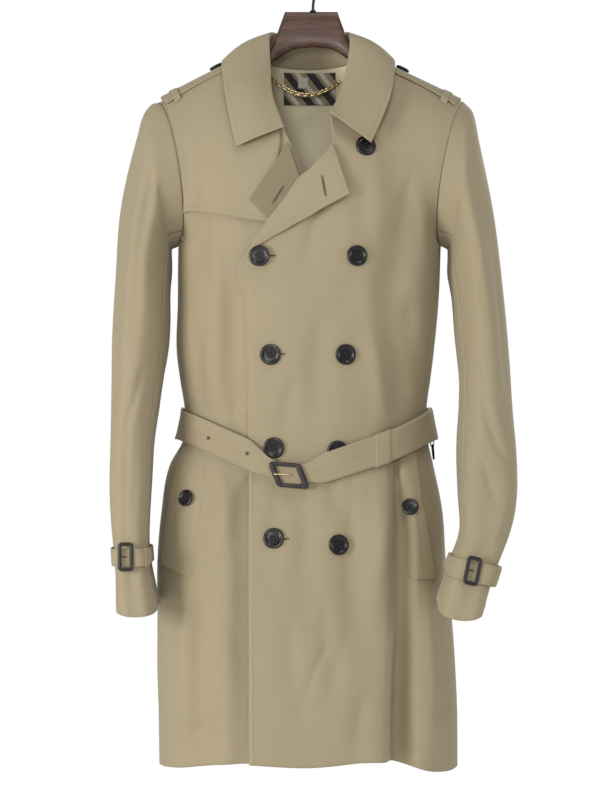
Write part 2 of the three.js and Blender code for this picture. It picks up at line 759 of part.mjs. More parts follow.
const COLLAR_FRONT_LIMIT = 6;
const COLLAR_CLOTH = DOUBLED_CLOTH;
const COLLAR_STATIONS = stops(0, 12, 24);
const STAND_CLOTH = 2;
const STAND_INSET = 1.1;
const NECK_MIDDLE = point(-7, -10, 0);
const STAND_UNDER_FOLD = COLLAR_CLOTH + 0.45;
const STAND_DROP = 1.3;
const FOLD_END = 3;
function collarRuled(station, across) {
  const at = (name) => COLLAR(name, station);
  return point(
    lerp(at('foldX'), at('edgeX'), across),
    lerp(at('foldY'), at('edgeY'), across),
    lerp(at('foldZ'), at('edgeZ'), across),
  );
}
const COLLAR_CLEARANCE = 6.4;
const COLLAR_OVER_EPAULETTE = 3.4;
function collarFall(station, across) {
  const normal = normalOf(collarRuled, station, clamp(across, 0.05, 0.95), 0.02, 0.02);
  const bulge = COLLAR_BULGE * Math.sin(Math.PI * across);
  const place = collarRuled(station, across).addScaledVector(normal, bulge);
  if (place.y > COLLAR_FRONT_LIMIT) return place;
  const front = frontFrame(place.x, place.z, 0);
  const clearance = COLLAR_CLEARANCE + COLLAR_OVER_EPAULETTE * ease(-44, -28, place.y);
  const short = clearance - place.clone().sub(front.place).dot(front.normal);
  return place.addScaledVector(front.normal, Math.max(short, 0) * ease(0, 0.25, across));
}
const FALL_OPTIONS = { steps: [0.02, 0.02] };
const fallGeometry = sheet(collarFall, COLLAR_STATIONS, stops(0, 1, 4), COLLAR_CLOTH, FALL_OPTIONS);
add('collar_fall', fallGeometry, MATERIALS.gabardine);

// The neck seam at a station; between the front and the back it passes over the shoulder seam's end
function neckSeam(station) {
  const p = NECK_SEAM('p', station);
  const isFront = station <= FOLD_END || station >= 12 - FOLD_END;
  return topSeam(clamp(p, -NECK_SHARE, NECK_SHARE), isFront ? -1 : 1);
}
function collarStand(station, rise) {
  const foot = neckSeam(station);
  foot.add(NECK_MIDDLE.clone().sub(foot).setZ(0).normalize().multiplyScalar(STAND_INSET));
  foot.z += SEAM_GAP + STAND_INSET;
  const top = collarRuled(station, 0);
  top.addScaledVector(normalOf(collarRuled, station, 0.05, 0.02, 0.02), -STAND_UNDER_FOLD);
  top.z -= STAND_DROP;
  return foot.lerp(top, rise);
}
const STAND_OPTIONS = { ...FALL_OPTIONS, outward: -1 };
const standGeometry = sheet(collarStand, stops(1, 11, 20), [0, 1], STAND_CLOTH, STAND_OPTIONS);
add('collar_stand', standGeometry, MATERIALS.gabardine);

// Back neck: the lining that shows through the neck, and a patch of patterned cloth on it
const LINING_CLOTH = 1;
const LINING_LIFT = -CLOTH - 1.7;
const PATCH_LIFT = LINING_LIFT - LINING_CLOTH - 1.3;
const PATCH_CLOTH = 0.8;
const NECK_STOPS = COLUMN_STOPS.leftBack.filter((share) => share > 0 && share < NECK_SHARE);
const NECK_LINING = {
  shares: [...NECK_STOPS.map((share) => -share).reverse(), 0, ...NECK_STOPS],
  heights: [...PANEL_HEIGHTS.filter((height) => height > -320 && height < SHOULDER_Z), SHOULDER_Z - 3],
};
const NECK_PATCH = { shares: [-0.145, 0, 0.145], heights: [-229, -220, -208, SHOULDER_Z - 6] };
const backForm = (p, height) => body(p, 1, height);
function onBack(p, height, off) {
  return backForm(p, height).addScaledVector(normalOf(backForm, p, height, STEP, 0.5), off);
}
function backPiece(name, { shares, heights }, lift, thickness, material) {
  const form = (p, height) => onBack(p, height, -lift);
  const options = { outward: -1, steps: [STEP, 0.5] };
  return add(name, sheet(form, shares, heights, thickness, options), material);
}
backPiece('back_neck_lining', NECK_LINING, LINING_LIFT, LINING_CLOTH, MATERIALS.lining);
backPiece('neck_patch', NECK_PATCH, PATCH_LIFT, PATCH_CLOTH, MATERIALS.patch);

// The body's surface without valleys, all round: p is -1..1 across the front and 1..3 across the back
function around(p, z) {
  const turn = ((((p + 1) % 4) + 4) % 4) - 1;
  return turn <= 1 ? lowerBody(turn, -1, z) : lowerBody(2 - turn, 1, z);
}
function beltMiddle(p) {
  const turn = ((((p + 1) % 4) + 4) % 4) - 1;
  return turn <= 1 ? beltHeight(turn, -1) : beltHeight(2 - turn, 1);
}

// A strap round a tube: section(p) has the way to its middle line; it starts at p from and ends at p to
function strap({ surface, lift, half, us, vs, thickness, outward, steps }) {
  const normalAt = (p, v) => normalOf(surface, p, v * half(p), ...steps).multiplyScalar(outward);
  const lifted = (p, v) => surface(p, v * half(p)).addScaledVector(normalAt(p, v), lift(p, v));
  const points = vs.map((v) => us.map((p) => lifted(p, v)));
  const normals = vs.map((v) => us.map((p) => normalAt(p, v)));
  return wallGeometry(points, normals, thickness);
}

// Belt: it starts at the buckle, goes once round by the wearer's left, passes the buckle and lies on itself
const BUCKLE_P = -0.086;
const BUCKLE_SPAN = 0.2;
const BELT_START = BUCKLE_P + 0.022;
const BELT_END = 4 + 1.22;
const beltSurface = (p, across) => around(p, beltMiddle(p) + across);
const nearBuckle = (p) => Math.min(Math.abs(p - BUCKLE_P), Math.abs(p - 4 - BUCKLE_P));
const beltHalf = (p) => lerp(BELT_AT_BUCKLE, BELT_WIDTH, ease(0.08, BUCKLE_SPAN, nearBuckle(p))) / 2;
// Where its upper edge covers a button, the belt stands off by the button's thickness
const BELT_OVER_BUTTONS = [{ p: 0.17, rise: 3.4 }, { p: 4.17, rise: 3.4 }];
const BUTTON_REACH = 0.09;
function beltLift(p, v = 0) {
  const wound = lerp(BELT_LIFT, BELT_TAIL_LIFT, ease(4 + BUCKLE_P - 0.26, 4 + BUCKLE_P - 0.1, p));
  const riseOf = (button) => button.rise * Math.exp(-(((p - button.p) / BUTTON_REACH) ** 2));
  const rises = BELT_OVER_BUTTONS.map(riseOf);
  return wound + Math.max(...rises) * Math.max(v, 0);
}
const BELT_FIRST = [
  BELT_START, 0.0, 0.07, 0.14, 0.21, 0.28, 0.35, 0.42, 0.5,
  0.58, 0.66, 0.74, 0.82, 0.9, 0.98, 1.06, 1.14, 1.22,
];
const BELT_BACK = stops(1.36, 2.86, 10);
const BELT_RIGHT = [2.96, 3.04, ...stops(3.15, 3.6, 4)];
const BELT_NEAR = [3.68, 3.74, 3.79, 3.85, 4 + BUCKLE_P, ...BELT_FIRST.map((p) => p + 4)];
add('belt', strap({
  surface: beltSurface,
  lift: beltLift,
  half: beltHalf,
  us: [...BELT_FIRST, ...BELT_BACK, ...BELT_RIGHT, ...BELT_NEAR],
  vs: [-1, 1],
  thickness: BELT_CLOTH,
  outward: 1,
  steps: [STEP, 0.5],
}), MATERIALS.gabardine);

// Turns a mesh so that its x, y and z axes lie along a strap, across it and out of it
function setOn(mesh, surface, p, across, lift, outward, steps) {
  const normal = normalOf(surface, p, across, ...steps).multiplyScalar(outward);
  const along = surface(p + STEP, across).sub(surface(p - STEP, across)).normalize();
  const up = normal.clone().cross(along).normalize();
  const basis = new THREE.Matrix4().makeBasis(up.clone().cross(normal).normalize(), up, normal);
  mesh.quaternion.setFromRotationMatrix(basis);
  mesh.position.copy(surface(p, across).addScaledVector(normal, lift));
  return mesh;
}

// Solids joined or cut by manifold-3d, from geometries placed in one frame
function toSolid(geometry) {
  const bare = geometry.clone();
  for (const name of Object.keys(bare.attributes)) if (name !== 'position') bare.deleteAttribute(name);
  const merged = mergeVertices(bare, 1e-4);
  return new wasm.Manifold(new wasm.Mesh({
    numProp: 3,
    vertProperties: Float32Array.from(merged.getAttribute('position').array),
    triVerts: Uint32Array.from(merged.getIndex().array),
  }));
}
function toGeometry(solid) {
  const mesh = solid.getMesh();
  const geometry = new THREE.BufferGeometry();
  geometry.setAttribute('position', new THREE.Float32BufferAttribute(mesh.vertProperties, 3));
  geometry.setIndex(Array.from(mesh.triVerts));
  return geometry;
}
const joined = (...geometries) => toGeometry(geometries.map(toSolid).reduce((one, other) => one.add(other)));

function roundedRectangle(width, height, radius, Shape = THREE.Shape) {
  const [x, y] = [width / 2, height / 2];
  const shape = new Shape();
  shape.moveTo(x - radius, -y);
  shape.absarc(x - radius, -y + radius, radius, -Math.PI / 2, 0, false);
  shape.absarc(x - radius, y - radius, radius, 0, Math.PI / 2, false);
  shape.absarc(-x + radius, y - radius, radius, Math.PI / 2, Math.PI, false);
  shape.absarc(-x + radius, -y + radius, radius, Math.PI, 1.5 * Math.PI, false);
  return shape;
}

// A buckle: a frame whose back is at z 0, with a bar behind the strap, held by two posts
function buckleGeometry({ width, height, bar, rail, depth, drop, barWidth, barDepth }) {
  const shape = roundedRectangle(width, height, bar);
  shape.holes.push(roundedRectangle(width - 2 * bar, height - 2 * rail, 1.5, THREE.Path));
  const frame = new THREE.ExtrudeGeometry(shape, { depth, bevelEnabled: false, curveSegments: 4 });
  const back = new THREE.BoxGeometry(barWidth, height - 2, barDepth).translate(0, 0, -drop + barDepth / 2);
  const postWidth = rail - 1;
  const posts = [-1, 1].map((side) => new THREE.BoxGeometry(barWidth, postWidth, drop + depth / 2)
    .translate(0, side * ((height - 2) / 2 - postWidth / 2), -drop / 2 + depth / 4));
  return joined(frame, back, ...posts);
}

// A rod between two points, as an extruded disc
function discShape(radius, sides) {
  const shape = new THREE.Shape();
  for (let i = 0; i < sides; i += 1) {
    const angle = (2 * Math.PI * i) / sides;
    shape[i ? 'lineTo' : 'moveTo'](radius * Math.cos(angle), radius * Math.sin(angle));
  }
  return shape;
}
function rodGeometry(from, to, radius, sides = 8) {
  const options = { depth: from.distanceTo(to), bevelEnabled: false };
  const geometry = new THREE.ExtrudeGeometry(discShape(radius, sides), options);
  const turn = new THREE.Quaternion().setFromUnitVectors(point(0, 0, 1), to.clone().sub(from).normalize());
  return geometry.applyQuaternion(turn).translate(from.x, from.y, from.z);
}

const BELT_BUCKLE = {
  width: 46,
  height: 38,
  bar: 6,
  rail: 5,
  depth: 3,
  drop: 5.7,
  barWidth: 3.2,
  barDepth: 2,
};
const BELT_BUCKLE_LIFT = BELT_TAIL_LIFT + 0.7;
const BELT_STEPS = [STEP, 0.5];
const beltBuckle = add('belt_buckle', buckleGeometry(BELT_BUCKLE), MATERIALS.leather);
setOn(beltBuckle, beltSurface, BUCKLE_P, 0, BELT_BUCKLE_LIFT, 1, BELT_STEPS);
const PRONG_RADIUS = 1.1;
const PRONG_ENDS = [point(3, 0, 1.6), point(-21, 0, 4.9)];
const beltProng = add('belt_prong', rodGeometry(...PRONG_ENDS, PRONG_RADIUS), MATERIALS.steel);
setOn(beltProng, beltSurface, BUCKLE_P, 0, BELT_BUCKLE_LIFT, 1, BELT_STEPS);

// Loops: closed bands of cloth that a strap passes through
function loopGeometry(innerWidth, innerDepth, wall, length) {
  const shape = new THREE.Shape();
  const [x, y] = [innerWidth / 2 + wall, innerDepth / 2 + wall];
  shape.moveTo(-x, -y);
  shape.lineTo(x, -y);
  shape.lineTo(x, y);
  shape.lineTo(-x, y);
  const hole = new THREE.Path();
  hole.moveTo(-x + wall, -y + wall);
  hole.lineTo(-x + wall, y - wall);
  hole.lineTo(x - wall, y - wall);
  hole.lineTo(x - wall, -y + wall);
  shape.holes.push(hole);
  const band = new THREE.ExtrudeGeometry(shape, { depth: length, bevelEnabled: false });
  return band.translate(0, 0, -length / 2);
}

// A band of cloth round a strap that lies on a surface: over its outer face and back under it
function bandRound({ surface, outward, steps, from, to, half, inside, outside, wall }) {
  const corners = [[-1, -1], [1, -1], [1, 1], [-1, 1]];
  const inwards = [];
  const points = [from, to].map((p, i) => corners.map(([v, level], j) => {
    const across = v * half;
    const normal = normalOf(surface, p, across, ...steps).multiplyScalar(outward);
    const up = surface(p, across + 0.5).sub(surface(p, across - 0.5)).normalize();
    inwards[i * corners.length + j] = up.clone().multiplyScalar(-v).addScaledVector(normal, -level);
    const lift = level < 0 ? inside - wall : outside + wall;
    return surface(p, across).addScaledVector(normal, lift).addScaledVector(up, v * wall);
  }));
  return wallGeometry(points, null, wall, { closed: true, rim: (i, j) => inwards[i * corners.length + j] });
}

// Buttons: a turned disc with a raised rim and a sunken middle
function buttonGeometry({ radius, thickness }) {
  const profile = [
    [0, 0], [radius * 0.82, 0], [radius, thickness * 0.5],
    [radius * 0.84, thickness], [radius * 0.64, thickness * 0.7], [0, thickness * 0.66],
  ].map(([x, y]) => new THREE.Vector2(x, y));
  return new THREE.LatheGeometry(profile, 14);
}
const BUTTON_GAP = 0.5;
function buttonOnFront(name, size, x, z, lift) {
  const button = add(name, buttonGeometry(size), MATERIALS.horn);
  const { place, normal } = frontFrame(x, z, lift + BUTTON_GAP);
  button.quaternion.setFromUnitVectors(point(0, 1, 0), normal);
  button.position.copy(place);
}
const MAIN_BUTTONS = [
  { name: 'button_0_left', x: 70, z: -263, over: -0.9 },
  { name: 'button_1_right', x: -71, z: -413, over: 3.6 },
  { name: 'button_1_left', x: 57, z: -413, over: -1.6 },
  { name: 'button_2_right', x: -58, z: -546, over: -1 },
  { name: 'button_2_left', x: 43, z: -546, over: -0.9 },
  { name: 'button_3_right', x: -53.5, z: -667, over: 0.7 },
  { name: 'button_3_left', x: 32, z: -670 },
  { name: 'button_4_right', x: -53.5, z: -796 },
  { name: 'button_4_left', x: 33, z: -804 },
];
for (const { name, x, z, over = 0 } of MAIN_BUTTONS) {
  buttonOnFront(name, MAIN_BUTTON, x, z, topLift(x, z) + over);
}

// Pocket welts: slanting bands, each with a button
const WELT_CLOTH = 2;
const WELT_LIFT = WELT_CLOTH + 1.1;
const WELTS = {
  left: { from: [[121, -694], [129, -852]], to: [[146, -692], [167, -858]], button: [135, -755] },
  right: { from: [[-151, -692], [-164, -852]], to: [[-189, -692], [-212, -836]], button: [-173, -743] },
};
for (const [side, { from, to, button }] of Object.entries(WELTS)) {
  const lift = (x, z) => WELT_LIFT + (side === 'left' ? topLift(x, z) : 0);
  frontPatch(`${side}_pocket_welt`, { from, to, columns: 8, thickness: WELT_CLOTH, lift });
  buttonOnFront(`${side}_pocket_button`, POCKET_BUTTON, ...button, lift(...button));
}

// Epaulettes lie along the shoulder seams, from the armhole to under the collar
const EPAULETTE_CLOTH = 2.4;
const EPAULETTE = { from: 0.975, to: 0.5, frontReach: 0.115, backReach: 0.13, taper: 0.14 };
const EPAULETTE_LIFT = { right: FLAP_LIFT + EPAULETTE_CLOTH + 0.6, left: EPAULETTE_CLOTH + 1.1 };
function shoulderForm(side, share, v) {
  const narrow = 1 - EPAULETTE.taper * ((EPAULETTE.from - share) / (EPAULETTE.from - EPAULETTE.to));
  const reach = Math.abs(v) * narrow * (v < 0 ? EPAULETTE.frontReach : EPAULETTE.backReach);
  return body(share * side.sign, v < 0 ? -1 : 1, SHOULDER_Z - reach * (SHOULDER_Z - UNDERARM_Z));
}
const SHOULDER_STEPS = [0.01, 0.25];
function liftedShoulder(side, share, v, lift) {
  const form = (along, across) => shoulderForm(side, along, across);
  return form(share, v).addScaledVector(normalOf(form, share, v, ...SHOULDER_STEPS), lift * side.sign);
}
const SHOULDER_BUTTONS = { right: 0.69, left: 0.7 };
for (const name of ['right', 'left']) {
  const { sign } = SIDES[name];
  const surface = (share, v) => liftedShoulder(SIDES[name], share, v, EPAULETTE_LIFT[name]);
  const options = { outward: sign, steps: SHOULDER_STEPS };
  const shares = stops(EPAULETTE.from, EPAULETTE.to, 7);
  const geometry = sheet(surface, shares, stops(-1, 1, 4), EPAULETTE_CLOTH, options);
  add(`${name}_epaulette`, geometry, MATERIALS.gabardine);
  const button = add(`${name}_epaulette_button`, buttonGeometry(SHOULDER_BUTTON), MATERIALS.horn);
  const normal = normalOf(surface, SHOULDER_BUTTONS[name], 0, ...SHOULDER_STEPS).multiplyScalar(sign);
  button.quaternion.setFromUnitVectors(point(0, 1, 0), normal);
  button.position.copy(surface(SHOULDER_BUTTONS[name], 0).addScaledVector(normal, BUTTON_GAP));
}

// Cuff straps: each starts at its buckle, goes once round the sleeve and lies on itself
const CUFFS = {
  right: { row: 10.83, buckle: 1.33, turn: 1, start: 0.13, loop: 0.95 },
  left: { row: 11, buckle: 1.74, turn: -1, start: 0.36, loop: 0.95 },
};
const STRAP_TAIL = 1.25;
const CUFF_BUCKLE = {
  width: 20,
  height: 37,
  bar: 4,
  rail: 4,
  depth: 2.4,
  drop: 7.9,
  barWidth: 2.4,
  barDepth: 1.6,
};
const CUFF_BUCKLE_LIFT = STRAP_TAIL_LIFT + 1.8;
const STRAP_STEPS = [STEP, 0.5];
const CUFF_LOOP = { reach: 0.09, inside: 1.4, outside: STRAP_TAIL_LIFT + 0.5, wall: 0.8 };
for (const name of ['right', 'left']) {
  const cuff = CUFFS[name];
  const perRow = sleeve(name, 12, cuff.buckle).distanceTo(sleeve(name, 10, cuff.buckle)) / 2;
  const angleAt = (along) => cuff.buckle + cuff.turn * along;
  const surface = (along, across) => sleeve(name, cuff.row - across / perRow, angleAt(along));
  const outward = -SIDES[name].sign * cuff.turn;
  const full = 2 * Math.PI;
  const first = stops(cuff.start, STRAP_TAIL, 6);
  const rest = stops(STRAP_TAIL + 0.3, full - 0.18, 14);
  const tail = first.map((along) => along + full);
  add(`${name}_cuff_strap`, strap({
    surface,
    lift: (along) => lerp(STRAP_LIFT, STRAP_TAIL_LIFT, ease(full - 0.8, full - 0.3, along)),
    half: () => STRAP_WIDTH / 2,
    us: [...first, ...rest, full, ...tail],
    vs: [-1, 1],
    thickness: STRAP_CLOTH,
    outward,
    steps: STRAP_STEPS,
  }), MATERIALS.gabardine);
  const buckle = add(`${name}_cuff_buckle`, buckleGeometry(CUFF_BUCKLE), MATERIALS.leather);
  setOn(buckle, surface, 0, 0, CUFF_BUCKLE_LIFT, outward, STRAP_STEPS);
  add(`${name}_cuff_loop`, bandRound({
    surface,
    outward,
    steps: STRAP_STEPS,
    from: cuff.loop - CUFF_LOOP.reach,
    to: cuff.loop + CUFF_LOOP.reach,
    half: STRAP_WIDTH / 2 + 0.6,
    ...CUFF_LOOP,
  }), MATERIALS.gabardine);
}

// Belt keeper and the loops at the side seams
const BELT_BAND = {
  surface: beltSurface,
  outward: 1,
  steps: BELT_STEPS,
  half: BELT_WIDTH / 2 + 0.5,
  inside: 5,
  wall: 0.8,
};
const BELT_BANDS = {
  belt_keeper: { from: 0.345, to: 0.43, outside: BELT_TAIL_LIFT + 0.6 },
  left_belt_loop: { from: 0.99, to: 1.07, outside: BELT_TAIL_LIFT + 0.6 },
  right_belt_loop: { from: 2.96, to: 3.04, outside: BELT_LIFT + 0.6 },
};
for (const [name, sizes] of Object.entries(BELT_BANDS)) {
  add(name, bandRound({ ...BELT_BAND, ...sizes }), MATERIALS.gabardine);
}

// Small bands that hold each epaulette near its armhole
const CARRIER = { share: 0.9, half: 0.022, cloth: 1.2, reach: 1.22 };
for (const name of ['right', 'left']) {
  const side = SIDES[name];
  const top = EPAULETTE_LIFT[name] + CARRIER.cloth + 0.4;
  const foot = EPAULETTE_LIFT[name] - EPAULETTE_CLOTH + 0.6;
  const lifted = (share, v) => {
    const lift = lerp(top, foot, ease(1.02, CARRIER.reach, Math.abs(v)));
    return liftedShoulder(side, share, v, lift);
  };
  const shares = [CARRIER.share + CARRIER.half, CARRIER.share - CARRIER.half];
  const across = [-CARRIER.reach, -1.03, -0.5, 0, 0.5, 1.03, CARRIER.reach];
  const options = { outward: side.sign, steps: SHOULDER_STEPS };
  const geometry = sheet(lifted, shares, across, CARRIER.cloth, options);
  add(`${name}_epaulette_carrier`, geometry, MATERIALS.gabardine);
}

// D-ring under the belt at the wearer's left, in a small tab; it swings about its straight bar
const WIRE = 1.3;
const RING = { x: 168.6, y: 9, z: -671.4, half: 11, straight: 8, drop: 20, lean: 0.09 };
const TAB = { inside: 3.6, height: 5, wall: 1.2, length: 11, x: 168.2, z: -670.4 };
function closedTube(path, normal, radius, sides) {
  const count = path.length;
  const places = [];
  const faces = [];
  for (let i = 0; i < count; i += 1) {
    const along = path[(i + 1) % count].clone().sub(path[(i + count - 1) % count]).normalize();
    const across = along.clone().cross(normal).normalize();
    for (let j = 0; j < sides; j += 1) {
      const angle = (2 * Math.PI * j) / sides;
      const place = path[i].clone().addScaledVector(across, radius * Math.cos(angle));
      places.push(place.addScaledVector(normal, radius * Math.sin(angle)));
      const next = (i + 1) % count;
      const [a, b] = [i * sides + j, i * sides + ((j + 1) % sides)];
      const [c, d] = [next * sides + ((j + 1) % sides), next * sides + j];
      faces.push(a, b, c, a, c, d);
    }
  }
  const geometry = new THREE.BufferGeometry();
  geometry.setAttribute('position', positions(places));
  geometry.setIndex(faces);
  return facedOutwards(geometry);
}
function ringPath() {
  const path = [point(0, -RING.straight, 0), point(0, 0, 0), point(0, RING.straight, 0)];
  const depth = RING.drop;
  for (const angle of stops(0.15, Math.PI - 0.15, 12)) {
    path.push(point(0, RING.half * Math.cos(angle), -depth * Math.sin(angle) ** 0.75));
  }
  return path;
}
const ring = add('d_ring', closedTube(ringPath(), point(1, 0, 0), WIRE, 8), MATERIALS.steel);
ring.position.set(RING.x, RING.y, RING.z);
ring.rotation.y = -RING.lean;
const tabGeometry = loopGeometry(TAB.inside, TAB.height, TAB.wall, TAB.length);
const tab = add('d_ring_tab', tabGeometry, MATERIALS.gabardine);
tab.rotation.x = Math.PI / 2;
tab.position.set(TAB.x, RING.y, TAB.z);

// Chain loop inside the neck, as one smooth cord with an end fitting on the lining at each end
const CHAIN_RADIUS = 1.9;
const CHAIN_ENDS = [{ p: -0.262, height: -209 }, { p: 0.178, height: -213 }];
const CHAIN_SAG = 22;
const CHAIN_AHEAD = 8;
function chainGeometry() {
  const onLining = ({ p, height }, off) => onBack(p, height, off);
  const surface = -PATCH_LIFT + PATCH_CLOTH;
  const ends = CHAIN_ENDS.map((end) => onLining(end, surface + CHAIN_RADIUS + 0.6));
  const path = stops(0, 1, 14).map((share) => {
    const hang = 4 * share * (1 - share);
    return ends[0].clone().lerp(ends[1], share).add(point(0, -CHAIN_AHEAD * hang, -CHAIN_SAG * hang));
  });
  const extrudePath = new THREE.CatmullRomCurve3(path);
  const cord = new THREE.ExtrudeGeometry(discShape(CHAIN_RADIUS, 6), { steps: 18, extrudePath });
  const fittings = CHAIN_ENDS.map((end) => {
    const foot = onLining(end, surface - PATCH_CLOTH + 0.2);
    return rodGeometry(foot, onLining(end, surface + 4), 2.6);
  });
  return joined(cord, ...fittings);
}
add('neck_chain', chainGeometry(), MATERIALS.brass);

// Hanger: a board lofted along x. Its arms lie under the shoulder seams and its neck rises through the collar
const HANGER_NECK = [
  [-87, -131],
  [-73, -127],
  [-64, -119],
  [-55.5, -108],
  [-52.5, -98],
  [-39.5, -62],
  [34.5, -62],
  [47.5, -98],
  [50.5, -108],
  [57, -119],
  [62, -130],
  [72, -134],
];
const hangerBottom = chart(['x', 'z'], [
  [0, -111],
  [30, -116],
  [52, -130],
  [100, -160],
  [150, -184],
  [203, -205],
]);
const hangerHalf = chart(['x', 'y'], [[0, 7], [50, 7], [90, 8.5], [150, 11], [203, 12]]);
const ARM_SHARES = [0.16, 0.32, 0.48, 0.64, 0.78, 0.87, 0.92];
const armDrop = chart(['share', 'drop'], [[0.1, 6], [0.3, 3.6], [0.5, 2.9], [0.92, 2.9]]);
const BOARD_SQUARENESS = 2.6;
const BOARD_SIDES = 12;
function armStation(side, share) {
  const seam = side.neck.clone().lerp(side.shoulder, share);
  return [seam.x, seam.z - armDrop('drop', share)];
}
function boardSection(x, top, seamY) {
  const bottom = hangerBottom('z', Math.abs(x));
  const half = hangerHalf('y', Math.abs(x));
  const middle = (top + bottom) / 2;
  const high = (top - bottom) / 2;
  return Array.from({ length: BOARD_SIDES }, (_, i) => {
    const angle = (2 * Math.PI * i) / BOARD_SIDES;
    const [s, c] = [Math.sin(angle), Math.cos(angle)];
    const round = (value) => Math.sign(value) * Math.abs(value) ** (2 / BOARD_SQUARENESS);
    return point(x, seamY + half * round(s), middle + high * round(c));
  });
}
function loft(sections) {
  const sides = sections[0].length;
  const last = (sections.length - 1) * sides;
  const faces = [];
  for (let i = 0; i < sections.length - 1; i += 1) {
    for (let j = 0; j < sides; j += 1) {
      const [a, b] = [i * sides + j, i * sides + ((j + 1) % sides)];
      faces.push(a, b, b + sides, a, b + sides, a + sides);
    }
  }
  for (let j = 1; j < sides - 1; j += 1) {
    faces.push(0, j + 1, j);
    faces.push(last, last + j, last + j + 1);
  }
  const geometry = new THREE.BufferGeometry();
  geometry.setAttribute('position', positions(sections.flat()));
  geometry.setIndex(faces);
  return facedOutwards(geometry);
}
const hangerStations = [
  ...[...ARM_SHARES].reverse().map((share) => armStation(SIDES.right, share)),
  ...HANGER_NECK,
  ...ARM_SHARES.map((share) => armStation(SIDES.left, share)),
];
const BOARD_Y = 1.5;
add('hanger', loft(hangerStations.map(([x, z]) => boardSection(x, z, BOARD_Y))), MATERIALS.wood);

// Hook: a straight shank that bends into an open round, whose inside top is the origin
const HOOK_WIRE = 2;
const HOOK_RADIUS = 20;
const HOOK_MIDDLE_Z = HOOK_WIRE - HOOK_RADIUS;
const HOOK_START = -1.05;
const HOOK_END = 3.5;
const hookRound = stops(HOOK_START, HOOK_END, 16).map((angle) => point(
  HOOK_RADIUS * Math.cos(angle),
  0,
  HOOK_MIDDLE_Z + HOOK_RADIUS * Math.sin(angle),
));
const HOOK_SHANK = [point(0, 0, -61.6), point(0, 0, -52), point(2, 0, -43)];
const hookPath = new THREE.CatmullRomCurve3([...HOOK_SHANK, ...hookRound]);
const hookGeometry = new THREE.ExtrudeGeometry(discShape(HOOK_WIRE, 8), { steps: 36, extrudePath: hookPath });
add('hook', hookGeometry, MATERIALS.steel);

export default coat;
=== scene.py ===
"""Looks of a double-breasted trench coat that hangs on a wooden hanger.

Lengths in the tables are millimetres; objects are made in metres, in the same frame as the solids.
The front faces -Y and +X is a viewer's right, so +X is the wearer's left.
"""
import math

import bpy
import numpy as np
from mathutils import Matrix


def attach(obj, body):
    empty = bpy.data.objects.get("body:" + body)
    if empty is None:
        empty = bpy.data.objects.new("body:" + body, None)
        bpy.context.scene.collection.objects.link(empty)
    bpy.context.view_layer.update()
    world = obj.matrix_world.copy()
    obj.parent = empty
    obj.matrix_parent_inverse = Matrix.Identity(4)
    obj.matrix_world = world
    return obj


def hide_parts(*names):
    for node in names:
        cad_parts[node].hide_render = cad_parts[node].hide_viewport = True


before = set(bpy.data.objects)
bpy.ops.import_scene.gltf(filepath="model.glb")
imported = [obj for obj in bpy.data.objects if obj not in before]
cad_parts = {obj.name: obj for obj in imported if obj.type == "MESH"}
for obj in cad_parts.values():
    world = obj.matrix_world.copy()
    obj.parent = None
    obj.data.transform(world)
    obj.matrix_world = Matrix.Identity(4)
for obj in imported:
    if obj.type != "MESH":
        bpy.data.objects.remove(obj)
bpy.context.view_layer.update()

MM = 0.001
STEP = 1e-3
CLOTH = 1.6
DOUBLED = 2.2
SHOULDER_Z = -190.0
UNDERARM_Z = -390.0
WAIST_Z = -643.0
HEM_Z = -1112.0
SIDE_Y = 4.0
FULLNESS = 0.06
PINCH_REACH = 140.0
NECK_SHARE = 0.42


# Camera first: it stands where the photograph was taken from, and looks along +Y
CAMERA = {"place": (-0.0183, -3.0, -0.608), "lens": 95.94, "sensor": 36.0, "far": 60}


def make_camera():
    data = bpy.data.cameras.new("camera")
    data.lens = CAMERA["lens"]
    data.sensor_width = CAMERA["sensor"]
    data.sensor_fit = "AUTO"
    data.clip_end = CAMERA["far"]
    camera = bpy.data.objects.new("camera", data)
    camera.location = CAMERA["place"]
    camera.rotation_euler = (math.radians(90), 0, 0)
    bpy.context.collection.objects.link(camera)
    bpy.context.scene.camera = camera


make_camera()


# Small helpers on arrays of points
def lerp(start, end, share):
    return start + (end - start) * share


def ease(start, end, value):
    share = np.clip((value - start) / (end - start), 0, 1)
    return share * share * (3 - 2 * share)


def point(x, y, z):
    return np.stack(np.broadcast_arrays(*(np.asarray(value, float) for value in (x, y, z))), -1)


def unit(vectors):
    return vectors / np.maximum(np.linalg.norm(vectors, axis=-1, keepdims=True), 1e-9)


def turns_round(count):
    """Angles of count even places round a circle."""
    return np.arange(count) * 2 * math.pi / count


def path_run(path):
    """Lengths along a path, from its start to each of its points."""
    return np.concatenate([[0], np.cumsum(np.linalg.norm(np.diff(path, axis=0), axis=1))])


def even_loop(outline, count):
    """A closed outline with its points spaced evenly."""
    closed = np.concatenate([outline, outline[:1]])
    run = path_run(closed)
    even = np.linspace(0, run[-1], count, endpoint=False)
    return np.stack([np.interp(even, run, column) for column in closed.T], -1)


def smooth_rows(points, centre):
    """Draws each inner row of a grid towards the rows beside it."""
    points[1:-1] = (points[:-2] + centre * points[1:-1] + points[2:]) / (centre + 2)


def facing(points, sense):
    """Normals of a grid from its own shape, on the side where sense points."""
    normals = unit(np.cross(np.gradient(points, axis=1), np.gradient(points, axis=0)))
    return normals * np.sign(np.sum(normals * sense, axis=-1, keepdims=True))


